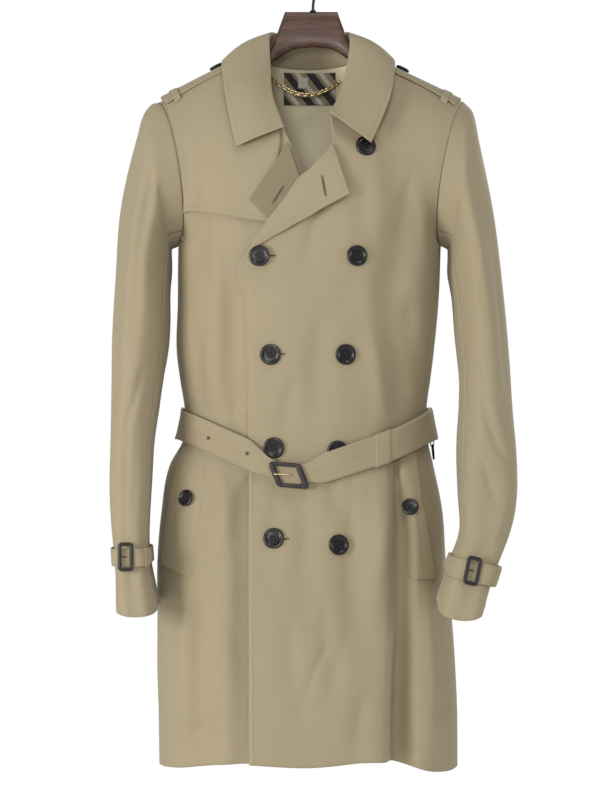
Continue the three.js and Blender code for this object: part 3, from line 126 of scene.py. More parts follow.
def chart(columns, rows):
    """A table's columns as smooth curves; the first column is the key."""
    table = np.array(sorted(rows), float)
    keys = table[:, 0]
    rise = np.diff(table, axis=0) / np.diff(keys)[:, None]
    slope = np.vstack([rise[:1], (rise[:-1] + rise[1:]) / 2, rise[-1:]])

    def at(name, value):
        column = columns.index(name)
        place = np.clip(value, keys[0], keys[-1])
        i = np.clip(np.searchsorted(keys, place, side="left") - 1, 0, len(keys) - 2)
        span = keys[i + 1] - keys[i]
        u = (place - keys[i]) / span
        start = table[i, column]
        gain = table[i + 1, column] - start
        bend = 3 * gain - span * (2 * slope[i, column] + slope[i + 1, column])
        twist = span * (slope[i, column] + slope[i + 1, column]) - 2 * gain
        return start + u * (span * slope[i, column] + u * (bend + u * twist))

    return at


def normal_of(form, u, v, step_u=STEP, step_v=STEP):
    along = form(u + step_u, v) - form(u - step_u, v)
    up = form(u, v + step_v) - form(u, v - step_v)
    return unit(np.cross(along, up))


# Body: the same sections, seams and valleys as the solids
body_section = chart(["z", "left", "right", "front", "back"], [
    (-390, -189, 180, -108, 98),
    (-467, -190, 177, -109, 98),
    (-539, -192, 170, -108, 95),
    (-580, -187, 165, -101, 90),
    (-618, -181, 160, -93, 83),
    (-643, -180, 160, -92, 82),
    (-668, -184, 162, -94, 84),
    (-699, -201, 169, -104, 91),
    (-765, -213, 182, -118, 100),
    (-833, -219, 187, -122, 104),
    (-909, -219, 195, -124, 108),
    (-981, -219, 200, -126, 111),
    (-1050, -217, 202, -128, 114),
    (-1125, -216, 203, -128, 115),
])
belt_front = chart(["x", "z"], [
    (-181, -642), (-145, -656), (-108, -673), (-90, -681), (-35, -710), (3, -704), (59, -686), (115, -666),
    (160, -642),
])
belt_back = chart(["x", "z"], [(-181, -642), (-100, -633), (-10, -630), (90, -633), (160, -642)])
hem_front = chart(["p", "z"], [
    (-1, -1119), (-0.6, -1112), (-0.3, -1101), (0, -1104),
    (0.25, -1098), (0.37, -1101), (0.55, -1116), (1, -1119),
])
hem_back = chart(["p", "z"], [(-1, -1119), (-0.5, -1113), (0, -1110), (0.5, -1113), (1, -1119)])


# face, top x, top z, foot x, foot z, reach at the top and foot, depth at the top and foot
VALLEYS = [
    (-1, -108, -430, -109, -640, 27, 22, 7, 9),
    (-1, 98, -350, 118, -640, 40, 28, 9, 12),
    (-1, 122, -690, 120, -1200, 17, 29, 10, 41),
    (1, -84, -420, -62, -625, 34, 24, 7, 9),
    (1, 96, -400, 64, -620, 36, 26, 8, 10),
    (1, -92, -690, -118, -1380, 22, 44, 8, 26),
    (1, 70, -700, 92, -1380, 24, 46, 9, 24),
]
VALLEY_FADE = 0.22
CREASE_GAIN = 1.9

NECK_SIDE = (4.0, -121.0)


def make_side(sign, shoulder_x, under_x, neck_x):
    """Corners of one side of the body: shoulder point, underarm and side of the neck."""
    return {
        "sign": sign,
        "shoulder": np.array((shoulder_x, 0.0, SHOULDER_Z)),
        "under": np.array((under_x, SIDE_Y, UNDERARM_Z)),
        "neck": np.array((neck_x, *NECK_SIDE)),
    }


RIGHT = make_side(-1, -218.0, -189.0, -84.0)
LEFT = make_side(1, 214.0, 180.0, 70.0)
SIDES = {"right": RIGHT, "left": LEFT}
ARMHOLE = {"front": 72, "back": 62, "front_lean": 20, "back_lean": 12}
NECK_FRONT = np.array((-7.0, -88, -222))
NECK_BACK = np.array((-7.0, 58, -133))


# Creases: face, start x and z, end x and z, half width at each end, depth (a ridge is negative)
CREASES = [
    (-1, 28, -285, -22, -450, 14, 26, 2.6),
    (-1, -6, -300, -30, -430, 10, 18, -1.6),
    (-1, 66, -300, 74, -430, 20, 26, 2.2),
    (-1, 136, -300, 118, -420, 12, 24, 3.4),
    (-1, 148, -330, 150, -470, 12, 20, -2.2),
    (-1, 134, -450, 150, -610, 14, 20, 3.2),
    (-1, 78, -520, 96, -650, 12, 18, -2.4),
    (-1, 12, -480, 6, -660, 18, 30, 2.4),
    (-1, -26, -575, -38, -668, 12, 20, 1.8),
    (-1, -146, -300, -156, -460, 14, 22, 3.2),
    (-1, -134, -380, -136, -560, 12, 18, -2.2),
    (-1, -158, -500, -150, -640, 12, 16, 3.0),
    (-1, -92, -560, -84, -664, 10, 16, 2.0),
    (-1, -56, -726, -52, -900, 14, 30, 2.0),
    (-1, 119, -662, 127, -800, 4, 9, 5.2),
    (-1, 96, -690, 92, -860, 9, 14, -2.4),
    (-1, -106, -600, -100, -668, 8, 12, 2.4),
    (-1, -10, -730, -2, -960, 16, 46, 3.0),
    (-1, 54, -716, 60, -980, 12, 38, 3.4),
    (-1, 84, -706, 84, -900, 8, 20, -2.6),
    (-1, 134, -880, 138, -1130, 14, 30, 4.5),
    (-1, 156, -860, 160, -1120, 10, 20, -3.0),
    (-1, -148, -860, -150, -1130, 16, 34, 4.0),
    (-1, -176, -850, -182, -1120, 12, 24, -2.6),
    (-1, -128, -690, -128, -830, 10, 20, -2.8),
    (-1, 16, -880, 30, -1000, 12, 20, 1.6),
    (-1, 46, -920, 20, -1040, 12, 18, 1.4),
    (-1, -30, -905, -12, -1070, 14, 22, 1.8),
    (-1, 70, -1000, 60, -1120, 12, 20, 1.8),
    (-1, 20, -700, 44, -776, 8, 20, 1.6),
    (-1, 24, -930, -14, -1030, 7, 9, 1.8),
    (-1, -120, -1036, -176, -1070, 7, 9, 1.6),
    (-1, 150, -1040, 190, -1018, 7, 8, 1.4),
    (-1, -66, -700, -100, -752, 8, 18, 1.8),
    (1, -150, -300, -120, -470, 16, 30, 4.0),
    (1, -60, -180, -84, -380, 18, 34, 2.6),
    (1, 8, -250, -4, -520, 22, 34, 2.0),
    (1, 60, -200, 86, -400, 18, 32, 2.8),
    (1, 146, -300, 122, -460, 16, 28, 3.8),
    (1, -20, -560, -26, -640, 14, 22, 2.4),
    (1, 22, -540, 28, -632, 12, 18, -2.0),
    (1, -130, -660, -146, -900, 12, 36, 3.6),
    (1, -44, -656, -52, -940, 12, 38, 3.2),
    (1, 10, -652, 26, -900, 10, 34, 2.6),
    (1, 112, -664, 136, -960, 12, 40, 4.2),
    (1, -6, -880, -14, -1120, 18, 36, 3.2),
    (1, 44, -900, 40, -1120, 16, 34, -3.0),
]

CREASE_BOW = 5
CREASE_FALL = 1.8
SWELL_GAIN = 0.7


def crease_depth(x, z, face):
    """Depth of the large valleys at x and z of a face."""
    depth = np.zeros(np.broadcast(x, z).shape)
    for side_face, top_x, top_z, foot_x, foot_z, top_reach, foot_reach, top_depth, foot_depth in VALLEYS:
        if side_face != face:
            continue
        along = (top_z - z) / (top_z - foot_z)
        off = (x - lerp(top_x, foot_x, along)) / np.maximum(lerp(top_reach, foot_reach, along), 1)
        fade = ease(0, VALLEY_FADE, along) * ease(1, 1 - VALLEY_FADE, along)
        sunk = lerp(top_depth, foot_depth, along) * fade * (1 - off**2) ** 2
        depth = depth + np.where(np.abs(off) < 1, sunk, 0)
    return depth


def fine_depth(x, z, face):
    """Depth of the listed creases, and of a slight swell all over, at x and z of a face."""
    depth = np.zeros(np.broadcast(x, z).shape)
    for side_face, x0, z0, x1, z1, reach0, reach1, deep in CREASES:
        if side_face != face:
            continue
        length = math.hypot(x1 - x0, z1 - z0)
        ax, az = (x1 - x0) / length, (z1 - z0) / length
        along = ((x - x0) * ax + (z - z0) * az) / length
        bow = CREASE_BOW * np.sin(math.pi * np.clip(along, 0, 1)) * np.sign(deep)
        off = (-(x - x0) * az + (z - z0) * ax + bow) / lerp(reach0, reach1, np.clip(along, 0, 1))
        fade = ease(-0.12, 0.3, along) * ease(1.12, 0.62, along)
        depth = depth + deep * fade * np.exp(-(off**2) * CREASE_FALL)
    swell = 0.8 * np.sin(x / 23.0 + z / 61.0 + 1.3) + 0.6 * np.sin(x / 37.0 - z / 43.0 + 0.4)
    drag = 0.35 * np.sin(x / 9.0 + 1.7 * np.sin(z / 50.0)) * np.sin(z / 31.0 + 0.8)
    return depth + (swell + drag) * SWELL_GAIN


def section_point(p, face, level):
    angle = p * math.pi / 2
    left, right = body_section("left", level), body_section("right", level)
    depth = body_section("front" if face < 0 else "back", level)
    full = 1 + FULLNESS * np.sin(2 * angle) ** 2
    x = (left + right) / 2 + (right - left) / 2 * np.sin(angle) * full
    y = SIDE_Y + (depth - SIDE_Y) * np.cos(angle) * full
    return x, y


def belt_height(p, face):
    x, _ = section_point(p, face, np.full(np.shape(p), WAIST_Z))
    return (belt_front if face < 0 else belt_back)("z", x)


def lower_body(p, face, z):
    belt = belt_height(p, face)
    level = z - (belt - WAIST_Z) * np.exp(-(((z - belt) / PINCH_REACH) ** 2))
    x, y = section_point(p, face, np.minimum(level, UNDERARM_Z))
    return point(x, y, z)


def armhole(side, angle):
    """The armhole's edge of one side; angle 0 is the shoulder point and sine 1 is its front."""
    share = ((1 + np.cos(angle)) / 2)[..., None]
    ahead = np.sin(angle)
    reach = np.where(ahead > 0, ARMHOLE["front"], ARMHOLE["back"])
    lean = np.where(ahead > 0, ARMHOLE["front_lean"], ARMHOLE["back_lean"])
    set_in = point(-side["sign"] * np.abs(ahead) * lean, -ahead * reach, 0)
    return lerp(side["under"], side["shoulder"], share) + set_in


def top_seam(side, p, face):
    middle = NECK_FRONT if face < 0 else NECK_BACK
    share = np.abs(p)
    turn = np.clip(share / NECK_SHARE, 0, 1) * math.pi / 2
    neck = side["neck"]
    round_neck = point(
        middle[0] + (neck[0] - middle[0]) * np.sin(turn),
        neck[1] + (middle[1] - neck[1]) * np.cos(turn),
        neck[2] + (middle[2] - neck[2]) * np.cos(turn),
    )
    along = (share - NECK_SHARE) / (1 - NECK_SHARE)
    shoulder_seam = lerp(neck, side["shoulder"], along[..., None])
    return np.where((share >= NECK_SHARE)[..., None], shoulder_seam, round_neck)


def upper_side(side, p, face, rise):
    share = np.abs(p)
    angle = share * math.pi / 2
    full = 1 + FULLNESS * np.sin(2 * angle) ** 2
    edge = armhole(side, math.pi * (1 - rise) * (1 if face < 0 else -1))
    base_x, base_y = section_point(0.0, face, UNDERARM_Z)
    neck = NECK_FRONT if face < 0 else NECK_BACK
    middle = lerp(np.array([float(base_x), float(base_y), UNDERARM_Z]), neck, rise[..., None])
    across = lerp(np.sin(angle) * full, share, rise)
    out = lerp(np.cos(angle) * full, 1 - share * share, rise)
    chest = point(
        lerp(middle[..., 0], edge[..., 0], across),
        lerp(edge[..., 1], middle[..., 1], out),
        lerp(middle[..., 2], edge[..., 2], share * share),
    )
    seam = top_seam(side, p, face) + (edge - side["shoulder"]) * (share**3)[..., None]
    seam = seam + (middle - neck) * ((1 - share) ** 2)[..., None]
    forward = rise**2.6
    upward = np.sin(math.pi / 2 * rise**1.3) ** 2
    return point(
        lerp(chest[..., 0], seam[..., 0], forward),
        lerp(chest[..., 1], seam[..., 1], forward),
        lerp(chest[..., 2], seam[..., 2], upward),
    )


SINK_ASIDE = 0.5
SINK_TURN = 0.7


def body(p, face, height, fine=1.0):
    """Outer surface of the body; fine is the share of the finer creases."""
    p, height = np.broadcast_arrays(np.asarray(p, float), np.asarray(height, float))
    is_lower = height <= UNDERARM_Z
    wrapped = is_lower & (np.abs(p) > 1)
    share = np.clip(np.where(wrapped, np.sign(p) * 2 - p, p), -1, 1)
    rise = np.clip((height - UNDERARM_Z) / (SHOULDER_Z - UNDERARM_Z), 0, 1)
    low = np.where(wrapped[..., None], lower_body(share, -face, height), lower_body(share, face, height))
    sides = [upper_side(side, share, face, rise) for side in (RIGHT, LEFT)]
    high = np.where((share < 0)[..., None], *sides)
    place = np.where(is_lower[..., None], low, high)
    angle = share * math.pi / 2
    depth = crease_depth(place[..., 0], place[..., 2], face)
    depth = np.where(wrapped, crease_depth(place[..., 0], place[..., 2], -face), depth)
    if fine:
        keep = ease(1.0, 0.9, np.abs(share)) * ease(1.0, 0.86, rise) * fine
        depth = depth + keep * CREASE_GAIN * fine_depth(place[..., 0], place[..., 2], face)
    sense = np.where(wrapped, -face, face)
    place[..., 0] -= depth * np.sin(angle) * SINK_ASIDE
    place[..., 1] -= depth * sense * np.cos(angle * SINK_TURN)
    return place


def front_form(p, height):
    return body(p, -1, height)


def back_form(p, height):
    return body(p, 1, height)


GUESS = {"middle": -5, "half": 190, "most": 0.97, "share": 0.8}
SEARCH_STEPS = 40
BELOW_HEM = 20
MOST_SHARE = 0.999


def on_face(x, z, face):
    """Share and height on the front or back panel of points seen at x and z."""
    x, z = np.broadcast_arrays(np.asarray(x, float), np.asarray(z, float))
    p = np.clip((x - GUESS["middle"]) / GUESS["half"], -GUESS["most"], GUESS["most"]) * GUESS["share"]
    height = np.clip(z, HEM_Z - BELOW_HEM, SHOULDER_Z - 1)
    for _ in range(SEARCH_STEPS):
        here = body(p, face, height, 0)
        along_p = (body(p + STEP, face, height, 0) - here) / STEP
        along_h = (body(p, face, height - STEP, 0) - here) / -STEP
        miss_x, miss_z = x - here[..., 0], z - here[..., 2]
        spread = along_p[..., 0] * along_h[..., 2] - along_h[..., 0] * along_p[..., 2]
        spread = np.where(np.abs(spread) < 1e-6, 1e-6, spread)
        step_p = (miss_x * along_h[..., 2] - along_h[..., 0] * miss_z) / spread
        step_h = (along_p[..., 0] * miss_z - miss_x * along_p[..., 2]) / spread
        p = np.clip(p + np.clip(step_p, -0.15, 0.15), -MOST_SHARE, MOST_SHARE)
        height = np.clip(height + np.clip(step_h, -30, 30), HEM_Z - BELOW_HEM, SHOULDER_Z)
    return p, height


def on_front(x, z):
    return on_face(x, z, -1)


def front_frame(x, z, lift=0.0, fine=1.0):
    """Places at a lift over the front, and normals there, of points seen at x and z."""
    p, height = on_front(x, z)
    form = lambda share, level: body(share, -1, level, fine)
    normal = normal_of(form, p, height, STEP * 4, 2.0)
    return form(p, height) + normal * np.asarray(lift)[..., None], normal


OVERLAP_LIFT = CLOTH + 1.4
ROLL_LIFT = 5.8
UNDER_SINK = 1.2
FOLD_SINK = {"top": 9, "foot": 8.5}


def top_lift(x, z):
    """How far the left front stands off the body where it laps over the right one."""
    across = ease(118, 80, x) * ease(-212, -262, z)
    roll = ease(-460, -420, z) * ease(-236, -290, z)
    return across * (OVERLAP_LIFT + ROLL_LIFT * roll)


def under_lift(x, z):
    """How far the right front sinks below the overlap."""
    deep = lerp(FOLD_SINK["top"], FOLD_SINK["foot"], ease(-700, -1100, z))
    fold = ease(-120, -94, x) * ease(-690, -760, z) * deep
    return -UNDER_SINK * ease(-104, -78, x) * ease(-212, -262, z) - fold


def edge_chart(points):
    x, z = np.array(points, float).T
    p, height = on_front(x, z)
    height[0] = SHOULDER_Z
    return chart(["height", "p"], list(zip(height, p)))


LEFT_FRONT_EDGE = [
    (23, -213), (24.5, -240), (25.5, -255), (20.5, -265), (-12, -300), (-36, -329), (-61, -363), (-86, -404),
    (-101, -426), (-95, -480), (-94, -546), (-90, -623), (-88, -707), (-88, -823), (-87, -1125),
]
left_front_edge = edge_chart(LEFT_FRONT_EDGE)
right_front_edge = edge_chart([
    (-60, -195), (-41, -236), (-29, -261), (-14, -298), (22, -355), (60, -395), (83, -424), (78, -545),
    (73, -707), (71, -1125),
])


# Nodes: a short way to write procedural materials
class Graph:
    def __init__(self, name):
        self.material = bpy.data.materials.new(name)
        self.material.use_nodes = True
        self.nodes = self.material.node_tree.nodes
        self.links = self.material.node_tree.links
        self.nodes.clear()
        self.output = self.nodes.new("ShaderNodeOutputMaterial")
        self.shader = self.nodes.new("ShaderNodeBsdfPrincipled")
        self.links.new(self.shader.outputs["BSDF"], self.output.inputs["Surface"])

    def put(self, socket, value):
        if isinstance(value, bpy.types.NodeSocket):
            self.links.new(value, socket)
        else:
            socket.default_value = value

    def math(self, operation, one, other=0.0, third=0.0, clamp=False):
        node = self.nodes.new("ShaderNodeMath")
        node.operation = operation
        node.use_clamp = clamp
        for socket, value in zip(node.inputs, (one, other, third)):
            self.put(socket, value)
        return node.outputs[0]

    def uv(self, name):
        node = self.nodes.new("ShaderNodeUVMap")
        node.uv_map = name
        parts = self.nodes.new("ShaderNodeSeparateXYZ")
        self.links.new(node.outputs[0], parts.inputs[0])
        return node.outputs[0], parts.outputs[0], parts.outputs[1]

    def place(self):
        return self.nodes.new("ShaderNodeTexCoord").outputs["Object"]

    def noise(self, vector, scale, detail=2.0, roughness=0.5, stretch=None):
        if stretch:
            mapping = self.nodes.new("ShaderNodeMapping")
            mapping.inputs["Scale"].default_value = stretch
            self.links.new(vector, mapping.inputs["Vector"])
            vector = mapping.outputs[0]
        node = self.nodes.new("ShaderNodeTexNoise")
        self.links.new(vector, node.inputs["Vector"])
        node.inputs["Scale"].default_value = scale
        node.inputs["Detail"].default_value = detail
        node.inputs["Roughness"].default_value = roughness
        return node.outputs[0]

    def mix(self, share, one, other):
        node = self.nodes.new("ShaderNodeMix")
        node.data_type = "RGBA"
        self.put(node.inputs[0], share)
        self.put(node.inputs[6], one)
        self.put(node.inputs[7], other)
        return node.outputs[2]

    def scaled(self, colour, value):
        """A colour made lighter or darker by a socket."""
        node = self.nodes.new("ShaderNodeHueSaturation")
        self.put(node.inputs["Color"], colour)
        self.put(node.inputs["Value"], value)
        return node.outputs[0]

    def total(self, start, *parts):
        """start plus each texture times its amount."""
        for texture, amount in parts:
            start = self.math("MULTIPLY_ADD", texture, amount, start)
        return start

    def wave(self, value, rate):
        return self.math("SINE", self.math("MULTIPLY", value, rate))

    def finish(self, base, roughness, height, strength, uniform=None):
        """Fills the shader: colour, roughness, bump and uniform values of its other inputs."""
        self.put(self.shader.inputs["Base Color"], base)
        self.put(self.shader.inputs["Roughness"], roughness)
        for name, value in (uniform or {}).items():
            self.shader.inputs[name].default_value = value
        node = self.nodes.new("ShaderNodeBump")
        node.inputs["Strength"].default_value = strength
        node.inputs["Distance"].default_value = 1.0
        self.links.new(height, node.inputs["Height"])
        self.links.new(node.outputs[0], self.shader.inputs["Normal"])
        return self.material


def linear(red, green, blue):
    """An sRGB colour from 0 to 255, as linear light."""
    values = [channel / 255 for channel in (red, green, blue)]
    return tuple(v / 12.92 if v <= 0.04045 else ((v + 0.055) / 1.055) ** 2.4 for v in values) + (1.0,)


TAN = linear(150, 138, 112)
THREAD = linear(150, 136, 103)
CHARCOAL = linear(52, 50, 50)
CREAM = linear(205, 198, 180)
STRIPE_TAN = linear(150, 136, 108)
WARMER = (1.03, 0.99, 0.93, 1)
COTTON = {
    "Sheen Weight": 0.18,
    "Sheen Roughness": 0.45,
    "Sheen Tint": (0.95, 0.9, 0.78, 1),
    "Specular IOR Level": 0.28,
}
STITCH = {"pitch": 0.0033, "dash": 0.7, "groove": 0.00144, "thread": 0.00063}
EDGE_HIGHLIGHT_REACH = 0.0016
TWILL_PITCH = 0.0011
WEAVE_RATE = 9000
STRIPE_PITCH = 0.034
NO_ROWS = ()
ONE_ROW = (0.0065,)
TWO_ROWS = (0.0015, 0.0075)


def near_line(graph, away, width):
    """1 on a line and 0 at the width from it."""
    return graph.math("SUBTRACT", 1.0, graph.math("DIVIDE", away, width), clamp=True)


def stitch_nodes(graph, rows_u, rows_v):
    """Groove and thread of the stitched rows, from the distances to the edges kept in the map named hem."""
    _, run_u, run_v = graph.uv("cloth")
    _, off_u, off_v = graph.uv("hem")
    groove, thread = 0.0, 0.0
    for off, run, rows in ((off_u, run_v, rows_u), (off_v, run_u, rows_v)):
        for row in rows:
            away = graph.math("ABSOLUTE", graph.math("SUBTRACT", off, row))
            phase = graph.math("FRACT", graph.math("DIVIDE", run, STITCH["pitch"]))
            dash = graph.math("LESS_THAN", phase, STITCH["dash"])
            dashed = graph.math("MULTIPLY", near_line(graph, away, STITCH["thread"]), dash)
            groove = graph.math("MAXIMUM", groove, near_line(graph, away, STITCH["groove"]))
            thread = graph.math("MAXIMUM", thread, dashed)
    return groove, thread, graph.math("MINIMUM", off_u, off_v)


def gabardine(name, colour=TAN, rows_u=ONE_ROW, rows_v=ONE_ROW, creased=1.0):
    """Cotton gabardine: a steep fine twill, uneven dye, soft creases, stitched edges with a painted highlight
    and painted shade in their grooves.
    """
    graph = Graph(name)
    cloth_map, across, along = graph.uv("cloth")
    twill = graph.wave(graph.total(0.0, (across, 0.9), (along, 0.42)), 2 * math.pi / TWILL_PITCH)
    fibre = graph.noise(cloth_map, 1400, 2, 0.6)
    dye = graph.noise(graph.place(), 5.5, 3, 0.55)
    worn = graph.noise(graph.place(), 46, 4, 0.6)
    crumple = graph.noise(graph.place(), 26, 3, 0.5)
    small = graph.noise(graph.place(), 95, 3, 0.55)
    groove, thread, near = stitch_nodes(graph, rows_u, rows_v)
    # Painted highlight: the colour is lighter within a short reach of the stitched edges.
    edge = near_line(graph, near, EDGE_HIGHLIGHT_REACH)
    # Painted shade: the colour is darker along the stitch grooves, on top of their bump.
    value = graph.total(
        0.835, (twill, 0.012), (fibre, 0.16), (dye, 0.1), (worn, 0.07), (groove, -0.07), (edge, 0.05),
    )
    warmer = tuple(channel * gain for channel, gain in zip(colour, WARMER))
    shade = graph.scaled(graph.mix(graph.math("MULTIPLY", dye, 0.35), colour, warmer), value)
    height = graph.total(
        0.0, (crumple, 0.0011 * creased), (small, 0.00026 * creased), (twill, 0.00002), (fibre, 0.00009),
        (groove, -0.00026), (thread, 0.0003),
    )
    base = graph.mix(graph.math("MULTIPLY", thread, 0.55), shade, THREAD)
    return graph.finish(base, graph.total(0.74, (worn, 0.12)), height, 0.75, COTTON)


def lining_material(name, colour):
    graph = Graph(name)
    _, across, along = graph.uv("cloth")
    weave = graph.math("MULTIPLY", graph.wave(across, WEAVE_RATE), graph.wave(along, WEAVE_RATE))
    crumple = graph.noise(graph.place(), 40, 3, 0.5)
    base = graph.scaled(colour, graph.total(0.96, (weave, 0.03), (crumple, 0.08)))
    height = graph.total(0.0, (crumple, 0.0008), (weave, 0.00003))
    return graph.finish(base, 0.6, height, 0.7, {"Sheen Weight": 0.1})


def striped_material(name):
    """Plain slanting stripes in charcoal, cream and tan, as a generic cloth for the neck patch."""
    graph = Graph(name)
    cloth_map, across, along = graph.uv("cloth")
    phase = graph.math("FRACT", graph.math("DIVIDE", graph.total(across, (along, 0.8)), STRIPE_PITCH))
    dark = graph.math("LESS_THAN", phase, 0.36)
    past, before = graph.math("GREATER_THAN", phase, 0.52), graph.math("LESS_THAN", phase, 0.74)
    light = graph.math("MULTIPLY", past, before)
    striped = graph.mix(dark, graph.mix(light, STRIPE_TAN, CREAM), CHARCOAL)
    fibre = graph.noise(cloth_map, 900, 2, 0.7)
    base = graph.scaled(striped, graph.total(0.75, (fibre, 0.5)))
    return graph.finish(base, 0.92, graph.math("MULTIPLY", fibre, 0.0004), 0.8, {"Sheen Weight": 0.2})


def horn_material(name):
    graph = Graph(name)
    cloud = graph.noise(graph.place(), 160, 4, 0.6, stretch=(1, 1, 2.4))
    streak = graph.noise(graph.place(), 420, 2, 0.5, stretch=(1, 1, 4))
    mixed = graph.mix(graph.math("POWER", cloud, 2.2), linear(8, 8, 11), linear(34, 31, 33))
    base = graph.scaled(mixed, graph.total(0.7, (streak, 0.5)))
    return graph.finish(base, graph.total(0.2, (streak, 0.14)), graph.math("MULTIPLY", streak, 0.00006), 0.5)


def leather_material(name, colour):
    graph = Graph(name)
    voronoi = graph.nodes.new("ShaderNodeTexVoronoi")
    voronoi.inputs["Scale"].default_value = 1500
    graph.links.new(graph.place(), voronoi.inputs["Vector"])
    pebble = voronoi.outputs[0]
    patina = graph.noise(graph.place(), 120, 3, 0.6)
    base = graph.scaled(colour, graph.total(0.6, (patina, 0.7), (pebble, 0.12)))
    rough = graph.total(0.38, (patina, 0.25))
    return graph.finish(base, rough, graph.math("MULTIPLY", pebble, 0.00012), 0.6, {"Coat Weight": 0.06})


def metal_material(name, colour, roughness):
    graph = Graph(name)
    scratch = graph.noise(graph.place(), 900, 3, 0.6, stretch=(1, 1, 0.2))
    stain = graph.noise(graph.place(), 130, 3, 0.6)
    base = graph.scaled(colour, graph.total(0.75, (stain, 0.5)))
    rough = graph.total(roughness - 0.1, (scratch, 0.2))
    return graph.finish(base, rough, graph.math("MULTIPLY", scratch, 0.00003), 0.5, {"Metallic": 1.0})


def wood_material(name):
    graph = Graph(name)
    grain = graph.noise(graph.place(), 60, 5, 0.65, stretch=(0.12, 1, 1))
    pore = graph.noise(graph.place(), 620, 2, 0.7, stretch=(0.06, 1, 1))
    mixed = graph.mix(graph.total(0.5, (graph.wave(grain, 34), 0.3)), linear(46, 25, 14), linear(84, 50, 30))
    base = graph.scaled(mixed, graph.total(0.62, (pore, 0.7)))
    rough = graph.total(0.32, (pore, 0.2))
    varnish = {"Coat Weight": 0.12, "Coat Roughness": 0.18}
    return graph.finish(base, rough, graph.math("MULTIPLY", pore, 0.0002), 0.5, varnish)


materials = {
    "cloth": gabardine("gabardine"),
    "double": gabardine("gabardine_double_stitched", rows_u=TWO_ROWS, rows_v=TWO_ROWS),
    # A darker copy of the same gabardine: painted shade for the right lapel, which lies in shade; not a
    # different cloth.
    "facing": gabardine("gabardine_facing", linear(128, 116, 93)),
    "belt": gabardine("gabardine_belt", rows_u=NO_ROWS, rows_v=(0.0035, 0.0095, 0.0155, 0.0205), creased=0.5),
    "strap": gabardine("gabardine_strap", rows_u=(0.003,), rows_v=(0.0035,), creased=0.6),
    "stand": gabardine("gabardine_stand", rows_u=NO_ROWS, rows_v=(0.004, 0.009, 0.014), creased=0.5),
    "lining": lining_material("lining", linear(228, 215, 180)),
    "patch": striped_material("striped_wool"),
    "label": lining_material("label", linear(206, 200, 186)),
    "horn": horn_material("horn"),
    "thread": lining_material("thread", linear(120, 106, 80)),
    # Dark thread for the buttons; the same dark colour is painted shade in buttonhole slits and belt eyelet
    # holes.
    "dark_thread": lining_material("dark_thread", linear(44, 38, 34)),
    "leather": leather_material("covered_leather", linear(26, 20, 18)),
    "dark_metal": metal_material("dark_nickel", linear(70, 66, 62), 0.34),
    "pale_metal": metal_material("worn_brass_prong", linear(190, 176, 140), 0.3),
    "brass": metal_material("brass", linear(224, 206, 158), 0.3),
    "wood": wood_material("dark_wood"),
}


# Meshes
def add_piece(name, places, faces, maps, material, nodes, body_name="garment"):
    """A mesh with its material and material slot, on its body, in place of its solids."""
    mesh = bpy.data.meshes.new(name)
    mesh.from_pydata((places * MM).tolist(), [], faces)
    mesh.materials.append(materials[material])
    corner = np.empty(len(mesh.loops), int)
    mesh.loops.foreach_get("vertex_index", corner)
    for map_name, values in maps.items():
        layer = mesh.uv_layers.new(name=map_name)
        layer.data.foreach_set("uv", (values[corner] * MM).ravel())
    mesh.polygons.foreach_set("use_smooth", np.full(len(mesh.polygons), True))
    mesh.update()
    piece = bpy.data.objects.new(name, mesh)
    bpy.context.collection.objects.link(piece)
    if nodes:
        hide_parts(*nodes)
    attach(piece, body_name)
    return piece


def arc_map(points):
    """Lengths across and along a grid, from its first column and row."""
    across = np.zeros(points.shape[:2])
    along = np.zeros(points.shape[:2])
    across[:, 1:] = np.cumsum(np.linalg.norm(np.diff(points, axis=1), axis=-1), axis=1)
    along[1:, :] = np.cumsum(np.linalg.norm(np.diff(points, axis=0), axis=-1), axis=0)
    return across, along


FAR = 400.0
EDGE_SOFTENED = 0.32
FRONT_HALF_Y = 30
GRIDS = {}


def on_piece(name, x, z):
    """Places and normals on a piece's outer surface where it is seen at x and z from the front."""
    points, normals = GRIDS[name]
    flat, flat_normals = points.reshape(-1, 3), normals.reshape(-1, 3)
    near_side = flat[:, 1] < FRONT_HALF_Y
    flat, flat_normals = flat[near_side], flat_normals[near_side]
    places, ways = [], []
    for one_x, one_z in zip(np.atleast_1d(x), np.atleast_1d(z)):
        away = np.hypot(flat[:, 0] - one_x, flat[:, 2] - one_z)
        nearest = np.argsort(away)[:6]
        weight = 1 / (away[nearest] + 0.05) ** 2
        weight = weight / weight.sum()
        normal = unit((flat_normals[nearest] * weight[:, None]).sum(0))
        seat = (flat[nearest] * weight[:, None]).sum(0)
        lift = -((one_x - seat[0]) * normal[0] + (one_z - seat[2]) * normal[2]) / normal[1]
        places.append((one_x, seat[1] + lift, one_z))
        ways.append(normal)
    return np.array(places), np.array(ways)


def grid_faces(rows, columns, closed=False):
    i, j = np.meshgrid(np.arange(rows - 1), np.arange(columns if closed else columns - 1), indexing="ij")
    beside = (j + 1) % columns
    corners = [i * columns + j, i * columns + beside, (i + 1) * columns + beside, (i + 1) * columns + j]
    return np.stack(corners, -1).reshape(-1, 4)


def ring_faces(rows, sides, first_cap=True):
    """Faces between the rings of a round form, with a cap at its last end and at its first one if asked."""
    faces = grid_faces(rows, sides, True).tolist()
    if first_cap:
        faces.append(list(range(sides))[::-1])
    faces.append(list(range((rows - 1) * sides, rows * sides)))
    return faces


def hem_distance(run, length, near, far):
    """Distance to the stitched edges at the near and far end of one direction."""
    away = np.full(run.shape, FAR)
    if near:
        away = np.minimum(away, run)
    if far:
        away = np.minimum(away, length - run)
    return away


